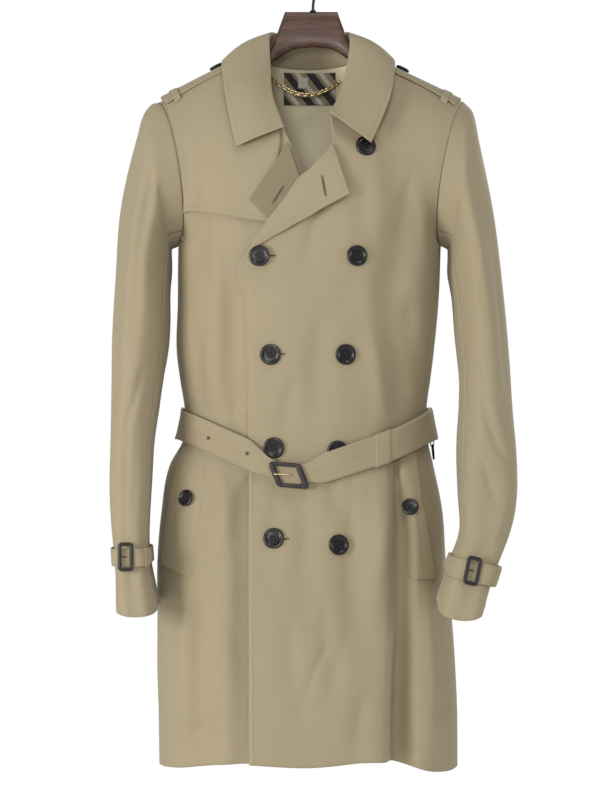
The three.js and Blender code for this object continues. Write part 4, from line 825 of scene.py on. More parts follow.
def cloth(name, points, normals, thickness, material, slot="gabardine", stitched="", closed=False,
          held="hung", nodes=None):
    """A shell of cloth with soft edges. stitched names its topstitched edges: l, r (across), b, t (along)."""
    GRIDS[name] = (points, normals)
    rows, columns = points.shape[:2]
    across, along = arc_map(points)
    wide, tall = across[:, -1:], along[-1:, :]
    off_u = hem_distance(across, wide, "l" in stitched, "r" in stitched)
    off_v = hem_distance(along, tall, "b" in stitched, "t" in stitched)
    outer = points.copy()
    inner = points - normals * thickness
    middle = points - normals * thickness / 2
    whole = slice(None)
    pairs = [((0, whole), (1, whole)), ((-1, whole), (-2, whole))]
    if not closed:
        pairs += [((whole, 0), (whole, 1)), ((whole, -1), (whole, -2))]
    for edge, inside in pairs:
        inward = unit(points[inside] - points[edge]) * (EDGE_SOFTENED * thickness)
        outer[edge] += inward
        inner[edge] += inward
    count = rows * columns
    skin = grid_faces(rows, columns, closed)
    faces = [skin, skin[:, ::-1] + count]
    index = np.arange(count).reshape(rows, columns)
    if closed:
        rings = [index[0], index[-1][::-1]]
    else:
        rings = [np.concatenate([index[0, :-1], index[:-1, -1], index[-1, :0:-1], index[:0:-1, 0]])]
    places = [outer.reshape(-1, 3), inner.reshape(-1, 3)]
    chosen = [index.ravel(), index.ravel()]
    base = 2 * count
    for ring in rings:
        places.append(middle.reshape(-1, 3)[ring])
        chosen.append(ring)
        k = np.arange(len(ring))
        following = (k + 1) % len(ring)
        faces.append(np.stack([ring[k], base + k, base + following, ring[following]], -1))
        faces.append(np.stack([base + k, ring[k] + count, ring[following] + count, base + following], -1))
        base += len(ring)
    places, faces, chosen = (np.concatenate(parts) for parts in (places, faces, chosen))
    a, b, c = (places[faces[:, k]] for k in range(3))
    if np.sum(a * np.cross(b, c)) < 0:
        faces = faces[:, ::-1]
    maps = {
        "cloth": np.stack([across, along], -1).reshape(-1, 2)[chosen],
        "hem": np.stack([off_u, off_v], -1).reshape(-1, 2)[chosen],
    }
    nodes = [name.removesuffix("_look")] if nodes is None else nodes
    piece = add_piece(name, places, faces.tolist(), maps, material, nodes)
    width, length = float(wide.max()) * MM, float(tall.max()) * MM
    if closed:
        width += float(np.linalg.norm(points[:, 0] - points[:, -1], axis=-1).max()) * MM


# Body panels
SIDE_EDGE = 1 - 0.0004
CENTRE_EDGE = 0.0004
HEM_REACH = 120
PANEL_ROWS = np.concatenate([
    np.linspace(HEM_Z, UNDERARM_Z, 131)[:-1], np.linspace(UNDERARM_Z, SHOULDER_Z, 56),
])
PANEL_STEPS = (STEP * 4, 1.5)


def hemmed(height, p, face):
    """The height with the panel's foot drawn to the uneven hem."""
    hem = (hem_front if face < 0 else hem_back)("z", p)
    return height + (hem - HEM_Z) * np.clip(1 - (height - HEM_Z) / HEM_REACH, 0, 1)


def body_panel(name, face, edge_from, edge_to, columns, lift, stitched, straight=None):
    """One panel of the body; straight is a line, seen from the front, that its first edge keeps to below."""
    u, height = np.meshgrid(np.linspace(0, 1, columns), PANEL_ROWS)
    p = lerp(edge_from(height), edge_to(height), u)
    hung = hemmed(height, p, face)
    form = lambda share, level: body(share, face, level)
    normals = normal_of(form, p, hung, *PANEL_STEPS) * -face
    place = form(p, hung)
    points = place + normals * lift(place[..., 0], place[..., 2])[..., None]
    if straight:
        line_x, line_z = np.array(straight[::-1], float).T
        miss = np.interp(points[:, 0, 2], line_z, line_x) - points[:, 0, 0]
        points[..., 0] += (miss * ease(-430, -500, points[:, 0, 2]))[:, None] * ease(0.3, 0, u)
    cloth(name + "_look", points, normals, CLOTH, "cloth", stitched=stitched)


def no_lift(x, z):
    return np.zeros(np.shape(x))


def flat_edge(value):
    return lambda height: np.full(np.shape(height), value)


body_panel("left_front", -1, lambda height: left_front_edge("p", height), flat_edge(SIDE_EDGE), 76,
           top_lift, "l", straight=LEFT_FRONT_EDGE)


body_panel("right_front", -1, flat_edge(-SIDE_EDGE), lambda height: right_front_edge("p", height), 66,
           under_lift, "r")


body_panel("right_back", 1, flat_edge(-SIDE_EDGE), flat_edge(-CENTRE_EDGE), 50, no_lift, "r")
body_panel("left_back", 1, flat_edge(CENTRE_EDGE), flat_edge(SIDE_EDGE), 50, no_lift, "")


# Sleeves
SLEEVE_COLUMNS = ["row", "outer_x", "outer_z", "inner_x", "inner_z", "mid_y", "front", "back", "lean"]
sleeve_chart = {
    "right": chart(SLEEVE_COLUMNS, [
        (0, -218, -190, -189, -390, 2, 72, 62, 15),
        (0.45, -227.5, -192.5, -193, -393, 0.5, 73, 63, 12),
        (1, -238, -206, -199, -397, -2, 74, 64, 7),
        (2, -248, -240, -200, -410, -6, 75, 66, 6),
        (3, -260, -295, -199, -434, -11, 75, 67, 3),
        (4, -270, -360, -199, -464, -17, 74, 68, 0),
        (5, -276, -440, -199, -505, -24, 72, 68, 0),
        (6, -280, -520, -202, -556, -31, 70, 68, 0),
        (7, -280, -600, -212, -612, -40, 68, 67, 0),
        (8, -279, -668, -221, -664, -52, 66, 65, 0),
        (9, -278, -724, -224, -720, -62, 63, 62, 0),
        (10, -274, -781, -226, -781, -72, 60, 60, 0),
        (11, -270, -827, -224, -827, -80, 57, 57, 0),
        (12, -267, -888, -212, -888, -86, 57, 57, 0),
    ]),
    "left": chart(SLEEVE_COLUMNS, [
        (0, 214, -190, 180, -390, 2, 72, 62, 15),
        (1, 226, -206, 190, -398, -2, 74, 64, 7),
        (2, 234, -245, 191, -413, -6, 75, 66, 6),
        (3, 243, -298, 190, -438, -11, 75, 67, 3),
        (4, 254, -368, 193, -470, -18, 74, 68, 0),
        (5, 265, -455, 197, -520, -27, 72, 68, 0),
        (6, 272, -540, 201, -572, -36, 70, 67, 0),
        (7, 276, -620, 200, -618, -46, 68, 65, 0),
        (8, 279, -684, 199, -682, -60, 66, 62, 0),
        (9, 276, -738, 200, -738, -76, 62, 58, 0),
        (10, 265, -786, 200, -786, -92, 58, 54, 0),
        (11, 243, -842, 185, -828, -108, 54, 50, 0),
        (12, 226, -886, 167, -882, -120, 56, 50, 0),
    ]),
}
SLEEVE_FLATNESS = 0.08
CUFF_SQUARENESS = 0.2
FRONT_DROP = {"right": 13, "left": 19}
# row and angle at the start and at the end, half width in radians at each, depth
SLEEVE_CREASES = {
    "right": [
        (0.9, 1.35, 6.2, 1.4, 0.14, 0.2, 4.2), (0.9, 0.95, 8.5, 1.05, 0.16, 0.2, -2.2),
        (0.8, 2.1, 3.4, 1.9, 0.18, 0.26, 1.6), (4.4, 0.5, 7.6, 0.65, 0.15, 0.22, 2.0),
        (6.2, 1.9, 8.0, 1.2, 0.14, 0.2, 3.2), (6.8, 0.5, 8.2, 1.1, 0.12, 0.18, 2.4),
        (7.6, 1.7, 10.6, 1.55, 0.16, 0.22, -2.0), (7.8, 0.9, 10.4, 0.95, 0.14, 0.18, 2.4),
        (1.0, -1.2, 4.5, -1.0, 0.2, 0.3, 3.2), (4.0, -0.7, 7.5, -0.9, 0.18, 0.26, 2.8),
        (6.4, -1.8, 8.2, -1.0, 0.16, 0.24, 3.0), (8.0, -0.6, 10.6, -0.8, 0.16, 0.24, 2.0),
        (2.5, 3.0, 5.5, 2.7, 0.2, 0.25, 2.4), (5.6, 3.4, 7.4, 2.9, 0.18, 0.2, 2.6),
    ],
    "left": [
        (1.2, 0.8, 4.2, 1.0, 0.16, 0.24, 3.0), (1.6, 1.4, 6.4, 1.15, 0.14, 0.2, -2.4),
        (0.8, 2.1, 3.6, 1.8, 0.18, 0.26, 3.4), (3.8, 0.6, 7.2, 0.75, 0.15, 0.22, 3.0),
        (6.0, 2.0, 7.7, 1.3, 0.14, 0.2, 3.6), (6.9, 1.9, 8.4, 0.8, 0.12, 0.2, 3.0),
        (8.0, 1.9, 9.4, 1.2, 0.12, 0.2, 2.8), (9.2, 0.7, 10.5, 1.0, 0.14, 0.18, 2.2),
        (1.0, -1.1, 4.2, -0.9, 0.2, 0.3, 3.4), (4.4, -0.8, 7.8, -1.0, 0.18, 0.26, 2.6),
        (6.2, -1.7, 8.4, -0.9, 0.16, 0.24, 3.2), (8.4, -0.5, 10.4, -0.7, 0.16, 0.24, 2.2),
        (2.8, 3.1, 5.2, 2.8, 0.2, 0.25, 2.4), (5.8, 3.5, 7.8, 3.0, 0.18, 0.2, 2.8),
    ],
}
CREASE_SLANT = 0.08
NO_TURN = 2.4


def sleeve_sunk(name, row, angle):
    """Depth of the sleeve's creases at a row and an angle."""
    sunk = np.zeros(row.shape)
    turned = (angle + NO_TURN) % (2 * math.pi) - NO_TURN
    for row0, angle0, row1, angle1, reach0, reach1, deep in SLEEVE_CREASES[name]:
        along = (row - row0) / (row1 - row0)
        clipped = np.clip(along, 0, 1)
        off = turned - lerp(angle0, angle1, clipped) - CREASE_SLANT * np.sin(3 * clipped)
        off = off / lerp(reach0, reach1, clipped)
        sunk = sunk + deep * ease(-0.1, 0.3, along) * ease(1.1, 0.6, along) * np.exp(-(off**2))
    sunk = sunk + 0.9 * np.sin(turned * 2.3 + row * 1.1 + 0.5) + 0.5 * np.sin(turned * 5.1 - row * 2.3)
    return sunk * ease(0.2, 1.2, row) * ease(12.2, 11.2, row)


def sleeve(name, row, angle, creased=True):
    """Outer surface of a sleeve: row 0 is its armhole and row 12 its cuff, angle 0 its outer side."""
    sign = SIDES[name]["sign"]
    at = lambda column: sleeve_chart[name](column, row)
    row, angle = np.broadcast_arrays(np.asarray(row, float), np.asarray(angle, float))
    ahead = np.sin(angle)
    flatness = SLEEVE_FLATNESS * ease(0, 3, row) - (SLEEVE_FLATNESS + CUFF_SQUARENESS) * ease(5.5, 10, row)
    full = 1 - flatness * np.sin(2 * angle) ** 2
    share = (1 + np.cos(angle) * full) / 2
    depth = np.where(ahead > 0, at("front"), at("back"))
    lean = np.where(row < 0.001, 0, at("lean"))
    first = ease(1, 0, row)
    tilt = np.maximum(ahead, 0) + 0.4 * np.minimum(ahead, 0)
    mid_y = lerp(at("mid_y"), lerp(SIDE_Y, 0, share), first)
    lean = lerp(lean, np.where(ahead > 0, ARMHOLE["front_lean"], ARMHOLE["back_lean"]), first)
    drop = FRONT_DROP[name] * ease(10.6, 12.4, row) * tilt
    place = point(
        lerp(at("inner_x"), at("outer_x"), share) - sign * np.abs(ahead) * lean,
        mid_y - ahead * depth * full,
        lerp(at("inner_z"), at("outer_z"), share) - drop,
    )
    if creased:
        middle_x, middle_z = ((at("inner_" + way) + at("outer_" + way)) / 2 for way in "xz")
        inward = point(middle_x, at("mid_y"), middle_z) - place
        inward[..., 2] = 0
        place = place + unit(inward) * sleeve_sunk(name, row, angle)[..., None]
    return place


FRONT_SEAM = 2.55
BACK_SEAM = -1.75
SEAM_ANGLE = 0.0015
SEAM_PRESS = 1.3
TURNED_IN = 7.0
SLEEVE_ROWS = np.concatenate([
    np.linspace(0, 0.25, 8)[:-1], np.linspace(0.25, 2, 28)[:-1], np.linspace(2, 12, 130),
])
CUFF_HEM = 11.75


def sleeve_piece(name, part, start, end, columns):
    """One piece of a sleeve; its armhole edge is pressed at the seam and turned in behind the body's edge."""
    side = SIDES[name]
    angle, row = np.meshgrid(np.linspace(start, end, columns), SLEEVE_ROWS)
    form = lambda u, v: sleeve(name, v, u)
    normals = normal_of(form, angle, np.maximum(row, 0.02), 0.01, 0.02) * side["sign"]
    from_seam = np.minimum(angle - start, end - angle) * 60
    press = SEAM_PRESS * np.exp(-((row / 0.07) ** 2)) + 0.5 * np.exp(-((from_seam / 2.5) ** 2))
    press = press - 0.5 * np.exp(-(((row - CUFF_HEM) / 0.03) ** 2))
    points = form(angle, row) - normals * press[..., None]
    middle = (side["under"] + side["shoulder"]) / 2
    turned = points[0] + unit(middle - points[0]) * TURNED_IN - np.array((side["sign"] * 3.0, 0, 0))
    points = np.concatenate([turned[None], points])
    normals = np.concatenate([normals[:1], normals])
    cloth(f"{name}_sleeve_{part}_look", points, normals, CLOTH, "cloth")


for name in SIDES:
    sleeve_piece(name, "upper", BACK_SEAM + SEAM_ANGLE, FRONT_SEAM - SEAM_ANGLE, 70)
    sleeve_piece(name, "under", FRONT_SEAM + SEAM_ANGLE, BACK_SEAM + 2 * math.pi - SEAM_ANGLE, 34)


# Pieces that lie on the front
def polyline(points):
    points = np.array(points, float)
    run = path_run(points)
    return lambda share: np.stack([np.interp(share * run[-1], run, column) for column in points.T], -1)


ROLL_TURN = math.pi * 0.95
ROLL_RADIUS = 2.6


def rolled(points, normals, out, count):
    """The grid with rows added before its first one, which bend it back under as a fold does."""
    turn = np.linspace(ROLL_TURN, 0, count)[:-1, None, None]
    bent_normals = out * np.sin(turn) + normals[0] * np.cos(turn)
    bent = points[0] + ROLL_RADIUS * (bent_normals - normals[0])
    return np.concatenate([bent, points]), np.concatenate([bent_normals, normals])


def front_patch(name, start, end, columns, rows, thickness, lift, material, roll_rows=0, fine=1.0, **options):
    """A patch between two lines seen from the front; roll_rows bend its first edge back under."""
    u, v = np.meshgrid(np.linspace(0, 1, columns), np.linspace(0, 1, rows))
    flat = lerp(polyline(start)(u), polyline(end)(u), v[..., None])
    x, z = flat[..., 0], flat[..., 1]
    points, normals = front_frame(x, z, lift(x, z, u, v), fine)
    normals = facing(points, normals)
    if roll_rows:
        points, normals = rolled(points, normals, unit(points[0] - points[1]), roll_rows)
    cloth(name + "_look", points, normals, thickness, material, **options)


FLAP_CLOTH = 1.6
FLAP_LIFT = FLAP_CLOTH + 1.5
FLAP_TOP = SHOULDER_Z - 5
FLAP_SIDE_P = -0.983
flap_x, flap_z = np.array([(-60, -367), (-51, -300), (-46, -240)], float).T
flap_front = chart(["height", "p"], [*zip(*on_front(flap_x, flap_z)[::-1]), (FLAP_TOP, -0.235)])


def storm_flap():
    """The flap over the right shoulder, loose along its foot."""
    outer_low, inner_low = (float(on_front(x, z)[1]) for x, z in ((-181, -354), (-60, -367)))
    u, v = np.meshgrid(np.linspace(0, 1, 50), np.linspace(0, 1, 60))
    height = lerp(lerp(outer_low, inner_low, u), FLAP_TOP, v)
    p = lerp(FLAP_SIDE_P, flap_front("p", height), u)
    normals = normal_of(front_form, p, height, *PANEL_STEPS)
    wave = 0.7 * np.sin(u * 7 + 0.6) * (1 - v) ** 3 + 1.1 * (1 - v) ** 6
    points = front_form(p, height) + normals * (FLAP_LIFT + wave)[..., None]
    cloth("storm_flap_look", points, normals, FLAP_CLOTH, "double", stitched="br")


storm_flap()

LAPEL_GAP = 0.7
LAPEL_CLOTH = 1.3
LEFT_LAPEL = {
    "roll": [(26, -262), (-9, -302), (-33, -331), (-58, -365), (-82, -406)],
    "edge": [(47.7, -331), (9, -352.7), (-13, -365), (-45.5, -384), (-60.7, -392), (-77, -402)],
    "tip_lift": 7,
    "bulge": 4,
    "pressed": 0.7,
}
RIGHT_LAPEL = {
    "roll": [(-34, -256), (-20, -300), (16, -354), (44, -385)],
    "edge": [(-86, -335), (-60, -364), (-20, -378), (34, -396)],
    "tip_lift": 1,
    "bulge": 0.6,
    "pressed": 1,
}
RIGHT_LAPEL_BASE = FLAP_LIFT - 0.3


def lapel_rise(lapel, u, v):
    """How far a lapel's outer side stands over the cloth below it."""
    rise = lapel["bulge"] * np.sin(math.pi * v) + lapel["tip_lift"] * v * v * (1 - u)
    return DOUBLED + LAPEL_GAP + rise * (1 - u * lapel["pressed"])


front_patch("left_lapel", LEFT_LAPEL["roll"], LEFT_LAPEL["edge"], 60, 34, LAPEL_CLOTH,
            lambda x, z, u, v: top_lift(x, z) + lapel_rise(LEFT_LAPEL, u, v), "double",
            roll_rows=9, fine=0.15, stitched="tl")


# The right lapel takes the darker copy of the gabardine: painted shade.
front_patch("right_lapel", RIGHT_LAPEL["roll"], RIGHT_LAPEL["edge"], 50, 30, LAPEL_CLOTH,
            lambda x, z, u, v: RIGHT_LAPEL_BASE + lapel_rise(RIGHT_LAPEL, u, v), "facing",
            fine=0.5, stitched="tl")


# Collar
COLLAR = chart(["station", "fold_x", "fold_y", "fold_z", "edge_x", "edge_y", "edge_z"], [
    (0, -41.5, -95, -236, -106, -93, -262),
    (1, -57.6, -66, -187, -116, -79, -216),
    (2, -60, -36, -145, -124, -59, -172),
    (3, -63, -4, -95, -128, -8, -130),
    (4, -54, 34, -86, -116, 37, -142),
    (5, -34, 54, -87, -68, 64, -162),
    (6, -7, 60, -88, -7, 75, -170),
    (7, 20, 54, -87, 54, 64, -162),
    (8, 42, 34, -86, 102, 37, -142),
    (9, 54, -4, -95, 114, -8, -128),
    (10, 47, -36, -147, 111, -59, -170),
    (11, 36, -68, -190, 100, -83, -209),
    (12, 23, -95, -216, 79, -100, -258),
])
neck_seam_chart = chart(["station", "p", "face"], [
    (1, -0.265, -1), (2, -0.35, -1), (3, -0.42, 0), (4, -0.3, 1), (5, -0.15, 1), (6, 0, 1),
    (7, 0.15, 1), (8, 0.3, 1), (9, 0.42, 0), (10, 0.35, -1), (11, 0.24, -1),
])
COLLAR_CLOTH = 1.5
COLLAR_BULGE = 7
COLLAR_FRONT_LIMIT = 6
COLLAR_CLEARANCE = 6.4
COLLAR_OVER_EPAULETTE = 3.4
COLLAR_MOST_MOVED = 16
COLLAR_SMOOTHING = 14
COLLAR_STEPS = (0.02, 0.02)


def collar_ruled(station, across):
    at = lambda name: COLLAR(name, station)
    return point(
        lerp(at("fold_x"), at("edge_x"), across),
        lerp(at("fold_y"), at("edge_y"), across),
        lerp(at("fold_z"), at("edge_z"), across),
    )


def collar_fall(station, across):
    normal = normal_of(collar_ruled, station, np.clip(across, 0.05, 0.95), *COLLAR_STEPS)
    place = collar_ruled(station, across) + normal * (COLLAR_BULGE * np.sin(math.pi * across))[..., None]
    p, height = on_front(place[..., 0], place[..., 2])
    front = body(p, -1, height, 0)
    front_normal = normal_of(lambda a, b: body(a, -1, b, 0), p, height, STEP, 0.5)
    clearance = COLLAR_CLEARANCE + COLLAR_OVER_EPAULETTE * ease(-44, -28, place[..., 1])
    short = np.clip(clearance - np.sum((place - front) * front_normal, axis=-1), 0, COLLAR_MOST_MOVED)
    missed = np.hypot(place[..., 0] - front[..., 0], place[..., 2] - front[..., 2])
    short = short * ease(14, 2, missed) * ease(22, COLLAR_FRONT_LIMIT, place[..., 1])
    return place + front_normal * (short * ease(0, 0.25, across))[..., None]


def make_collar():
    """The fall of the collar, rolled under along its fold."""
    u, v = np.meshgrid(np.linspace(0, 12, 170), np.linspace(0, 1, 34))
    points = collar_fall(u, v)
    for _ in range(COLLAR_SMOOTHING):
        smooth_rows(points.swapaxes(0, 1), 2)
        smooth_rows(points, 6)
    for end, near in ((0, ease(1.8, 0, u)), (-1, ease(10.2, 12, u))):
        line = lerp(points[0, end], points[-1, end], v[:, :1])
        points = points + (line - points[:, end])[:, None] * (1, 0, 1) * near[..., None]
    normals = facing(points, normal_of(collar_ruled, u, np.clip(v, 0.05, 0.95), *COLLAR_STEPS))
    points, normals = rolled(points, normals, unit(points[0] - points[3]), 10)
    cloth("collar_fall_look", points, normals, COLLAR_CLOTH, "cloth", stitched="tlr")


make_collar()


STAND_CLOTH = 1.6
STAND_CENTRE = np.array((-7.0, -10.0, 0.0))
STAND_UNDER_FALL = 2.9
STAND_BELOW_FOLD = 1.8


def collar_stand(station, rise):
    """The band of the collar, from the neck seam up to just inside the fold."""
    p = np.clip(neck_seam_chart("p", station), -NECK_SHARE, NECK_SHARE)
    is_front = (station <= 3) | (station >= 9)
    is_right = (p < 0)[..., None]
    seams = [np.where(is_right, top_seam(RIGHT, p, face), top_seam(LEFT, p, face)) for face in (-1, 1)]
    foot = np.where(is_front[..., None], *seams)
    inward = STAND_CENTRE - foot
    inward[..., 2] = 0
    behind = ease(3, 4, station) * ease(9, 8, station)
    foot = foot + unit(inward) * lerp(1.1, 4.6, behind)[..., None]
    foot[..., 2] += lerp(1.45, -2.5, behind)
    top = collar_ruled(station, np.zeros(np.shape(station)))
    fold_normal = normal_of(collar_ruled, station, np.full(np.shape(station), 0.05), *COLLAR_STEPS)
    top = top - fold_normal * STAND_UNDER_FALL
    top[..., 2] -= STAND_BELOW_FOLD
    return lerp(foot, top, rise[..., None])


def sheet(name, form, us, vs, thickness, material, outward, steps, **options):
    """A piece of cloth on a form, over a grid of its two values."""
    u, v = np.meshgrid(us, vs)
    cloth(name + "_look", form(u, v), normal_of(form, u, v, *steps) * outward, thickness, material, **options)


sheet("collar_stand", collar_stand, np.linspace(1, 11, 140), np.linspace(0, 1, 14), STAND_CLOTH, "stand",
      -1, COLLAR_STEPS, stitched="b")


# Inside of the back neck
LINING_CLOTH = 1.0
LINING_LIFT = -CLOTH - 1.7
LINING_STEPS = (STEP * 4, 1.0)
PATCH_LIFT = LINING_LIFT - LINING_CLOTH - 1.3
PATCH_CLOTH = 0.8
LABEL_LIFT = PATCH_LIFT - 0.9
LABEL_CLOTH = 0.4


def back_lining(p, height):
    return back_form(p, height) - normal_of(back_form, p, height, *LINING_STEPS) * LINING_LIFT


def inside_back(name, xs, zs, lift, thickness, material, slot, nodes):
    """A small piece of cloth inside the back, cut straight as it is seen from the front."""
    p, height = on_face(*np.meshgrid(xs, zs), 1)
    normals = normal_of(back_form, p, height, *LINING_STEPS)
    cloth(name, back_form(p, height) - normals * lift, normals, thickness, material, slot, nodes=nodes)


sheet("back_neck_lining", back_lining, np.linspace(-0.37, 0.37, 60), np.linspace(-308, SHOULDER_Z - 0.5, 44),
      LINING_CLOTH, "lining", 1, LINING_STEPS, slot="lining")


inside_back("neck_patch_look", np.linspace(-43, 34, 30), np.linspace(-184, -139, 20), PATCH_LIFT, PATCH_CLOTH,
            "patch", "patch", ["neck_patch"])


inside_back("size_label", np.linspace(-22, -7, 8), np.linspace(-160, -145, 8), LABEL_LIFT, LABEL_CLOTH,
            "label", "lining", [])


# Belt
BELT_WIDTH = 45
BELT_AT_BUCKLE = 28
BELT_LIFT = 7.6
BELT_TAIL_LIFT = 11.0
BELT_CLOTH = 2.4
BELT_FLARE = 3.6
BELT_RIPPLE = 0.6
BUCKLE_P = -0.086
BUCKLE_SPAN = 0.2


def around(p, z):
    """The body all the way round: p runs on from the front over the left side to the back."""
    turn = (p + 1) % 4 - 1
    front = lower_body(np.clip(turn, -1, 1), -1, z)
    back = lower_body(np.clip(2 - turn, -1, 1), 1, z)
    return np.where((turn <= 1)[..., None], front, back)


def belt_middle(p):
    turn = (p + 1) % 4 - 1
    front = belt_height(np.clip(turn, -1, 1), -1)
    back = belt_height(np.clip(2 - turn, -1, 1), 1)
    return np.where(turn <= 1, front, back)


def belt_surface(p, across):
    return around(p, belt_middle(p) + across)


def belt_lift(p, v):
    """How far the belt stands off: more over itself and over the button, and flared at the sides."""
    start = 4 + BUCKLE_P - 0.26
    wound = lerp(BELT_LIFT, BELT_TAIL_LIFT, ease(start, start + 0.16, p))
    bump = np.maximum(*(np.exp(-(((p - turn) / 0.09) ** 2)) for turn in (0.17, 4.17))) * 3.4
    beside = sum(np.exp(-(((p - turn) / 0.22) ** 2)) for turn in (1, 3, 5))
    return wound + bump * np.maximum(v, 0) - BELT_FLARE * v * beside


def belt_half(p):
    near = np.minimum(np.abs(p - BUCKLE_P), np.abs(p - 4 - BUCKLE_P))
    return lerp(BELT_AT_BUCKLE, BELT_WIDTH, ease(0.08, BUCKLE_SPAN, near)) / 2


def strap_grid(surface, lift, half, ps, vs, outward, steps):
    """Places and normals of a flat strap that stands off a surface."""
    p, v = np.meshgrid(ps, vs)
    edges = []
    for s in (-1.0, 1.0):
        across = s * half(p)
        normal = normal_of(surface, p, across, *steps) * outward
        edges.append(surface(p, across) + normal * lift(p, s)[..., None])
    points = lerp(*edges, ((v + 1) / 2)[..., None])
    return points, facing(points, normal_of(surface, p, v * half(p), *steps) * outward)


def make_belt():
    stops = np.concatenate([np.linspace(BUCKLE_P + 0.022, 3.6, 300)[:-1], np.linspace(3.6, 5.22, 190)])
    vs = np.linspace(-1, 1, 13)
    points, normals = strap_grid(belt_surface, belt_lift, belt_half, stops, vs, 1, (STEP * 3, 0.5))
    ripple = 0.35 * np.sin(stops * 23 + 0.4) + 0.25 * np.sin(stops * 41 + 1.1)
    points = points + normals * (ripple * vs[:, None])[..., None] * BELT_RIPPLE
    cloth("belt_look", points, normals, BELT_CLOTH, "belt", stitched="btr")


make_belt()


def place_on(surface, p, across, lift, outward, steps):
    """Frame on a strap: its place, the way along it, the way across it and the way out of it."""
    at_p, at_across = np.array(p, float), np.array(across, float)
    normal = normal_of(surface, at_p, at_across, *steps) * outward
    along = unit(surface(at_p + STEP, at_across) - surface(at_p - STEP, at_across))
    up = unit(np.cross(normal, along))
    return surface(at_p, at_across) + normal * lift, unit(np.cross(up, normal)), up, normal


def put_in(frame_here, local):
    place, along, up, out = frame_here
    local = np.asarray(local, float)
    return place + local[..., :1] * along + local[..., 1:2] * up + local[..., 2:3] * out


def beside(way):
    """A fixed direction that is well away from the given one."""
    return np.array((0.0, 0, 1)) if abs(way[2]) < 0.9 else np.array((1.0, 0, 0))


def solid(name, places, faces, cloth_uv, material, nodes=(), body_name="garment"):
    """A closed piece with its faces turned outward."""
    volume = 0.0
    for face in faces:
        a = places[face[0]]
        for k in range(1, len(face) - 1):
            volume += float(np.dot(a, np.cross(places[face[k]], places[face[k + 1]])))
    if volume < 0:
        faces = [face[::-1] for face in faces]
    maps = {"cloth": cloth_uv, "hem": np.full((len(places), 2), FAR)}
    add_piece(name, places, faces, maps, material, nodes, body_name)


def tube(name, path, radii, sides, material, nodes=(), closed=False, squash=None, body_name="garment"):
    """A smooth tube along a path, its rings carried along; squash flattens it by a factor in a direction."""
    path = np.asarray(path, float)
    count = len(path)
    ahead = np.roll(path, -1, axis=0) - np.roll(path, 1, axis=0) if closed else np.gradient(path, axis=0)
    tangents = unit(ahead)
    side_way = np.zeros_like(path)
    carried = unit(np.cross(np.cross(tangents[0], beside(tangents[0])), tangents[0]))
    for i in range(count):
        carried = unit(carried - tangents[i] * np.dot(carried, tangents[i]))
        side_way[i] = carried
    other_way = np.cross(tangents, side_way)
    angles = turns_round(sides)
    radii = np.broadcast_to(radii, (count,))
    ring = side_way[:, None] * np.cos(angles)[:, None] + other_way[:, None] * np.sin(angles)[:, None]
    places = path[:, None] + ring * radii[:, None, None]
    if squash is not None:
        direction, factor = squash
        off = places - path[:, None]
        places = places - (off @ direction)[..., None] * direction * (1 - factor)
    if closed:
        faces = (grid_faces(count + 1, sides, True) % (count * sides)).tolist()
    else:
        faces = ring_faces(count, sides)
    around_run = np.broadcast_arrays(angles[None] * radii[:, None], path_run(path)[:, None])
    cloth_uv = np.stack(around_run, -1).reshape(-1, 2)
    solid(name, places.reshape(-1, 3), faces, cloth_uv, material, nodes, body_name)


def rounded_path(width, height, radius):
    """A closed rounded rectangle in the plane of a strap."""
    places = []
    for k, (sign_x, sign_y) in enumerate(((1, -1), (1, 1), (-1, 1), (-1, -1))):
        x, y = sign_x * (width / 2 - radius), sign_y * (height / 2 - radius)
        for angle in np.linspace((k - 1) * math.pi / 2, k * math.pi / 2, 14):
            places.append((x + radius * math.cos(angle), y + radius * math.sin(angle), 0))
    return even_loop(np.array(places), 120)


def buckle(name, frame_here, width, height, bar, rail, depth):
    """A leather-covered frame: an oval section carried round a rounded rectangle, wide at its two bars."""
    path = rounded_path(width - bar, height - rail, BUCKLE_CORNER)
    is_bar = np.abs(path[:, 0]) / (width - bar) > np.abs(path[:, 1]) / (height - rail)
    radii = np.where(is_bar, bar / 2, rail / 2)
    for _ in range(6):
        radii = (np.roll(radii, 1) + radii + np.roll(radii, -1)) / 3
    middle = put_in(frame_here, path + np.array((0, 0, depth / 2)))
    tube(name + "_look", middle, radii, 20, "leather", nodes=[name], closed=True,
         squash=(frame_here[3], depth / bar))


BUCKLE_CORNER = 3.2
BELT_STEPS = (STEP, 0.5)
BELT_BUCKLE_LIFT = BELT_TAIL_LIFT + 0.7
BELT_BUCKLE = {"width": 45, "height": 37, "bar": 8, "rail": 5.6, "depth": 4.6}
BELT_BUCKLE_LEAN = {"along": (1.0, -0.08), "up": (-0.37, 0.93)}
BELT_PRONG = [(3, 0, 1.6), (0, 0, 2.6), (-6, 0, 3.4), (-14, 0, 4.2), (-21, 0, 4.9)]
BELT_PRONG_RADII = [1.3, 1.3, 1.25, 1.15, 0.8]


def leaned(frame_here, along, up):
    """The frame with its two ways turned in its plane to lie as x and z show them."""
    place, _, _, out = frame_here
    ways = [unit(np.array((dx, -(dx * out[0] + dz * out[2]) / out[1], dz))) for dx, dz in (along, up)]
    return place, ways[0], ways[1], out


belt_frame = leaned(place_on(belt_surface, BUCKLE_P, 0, BELT_BUCKLE_LIFT, 1, BELT_STEPS), **BELT_BUCKLE_LEAN)
buckle("belt_buckle", belt_frame, **BELT_BUCKLE)
tube("belt_prong_look", put_in(belt_frame, BELT_PRONG), BELT_PRONG_RADII, 14, "pale_metal",
     nodes=["belt_prong"])


# Bands of cloth round the straps
BAND_CLOTH = 0.8
BAND_SLACK = 0.6


def signed_power(values, power):
    return np.sign(values) * np.abs(values) ** power


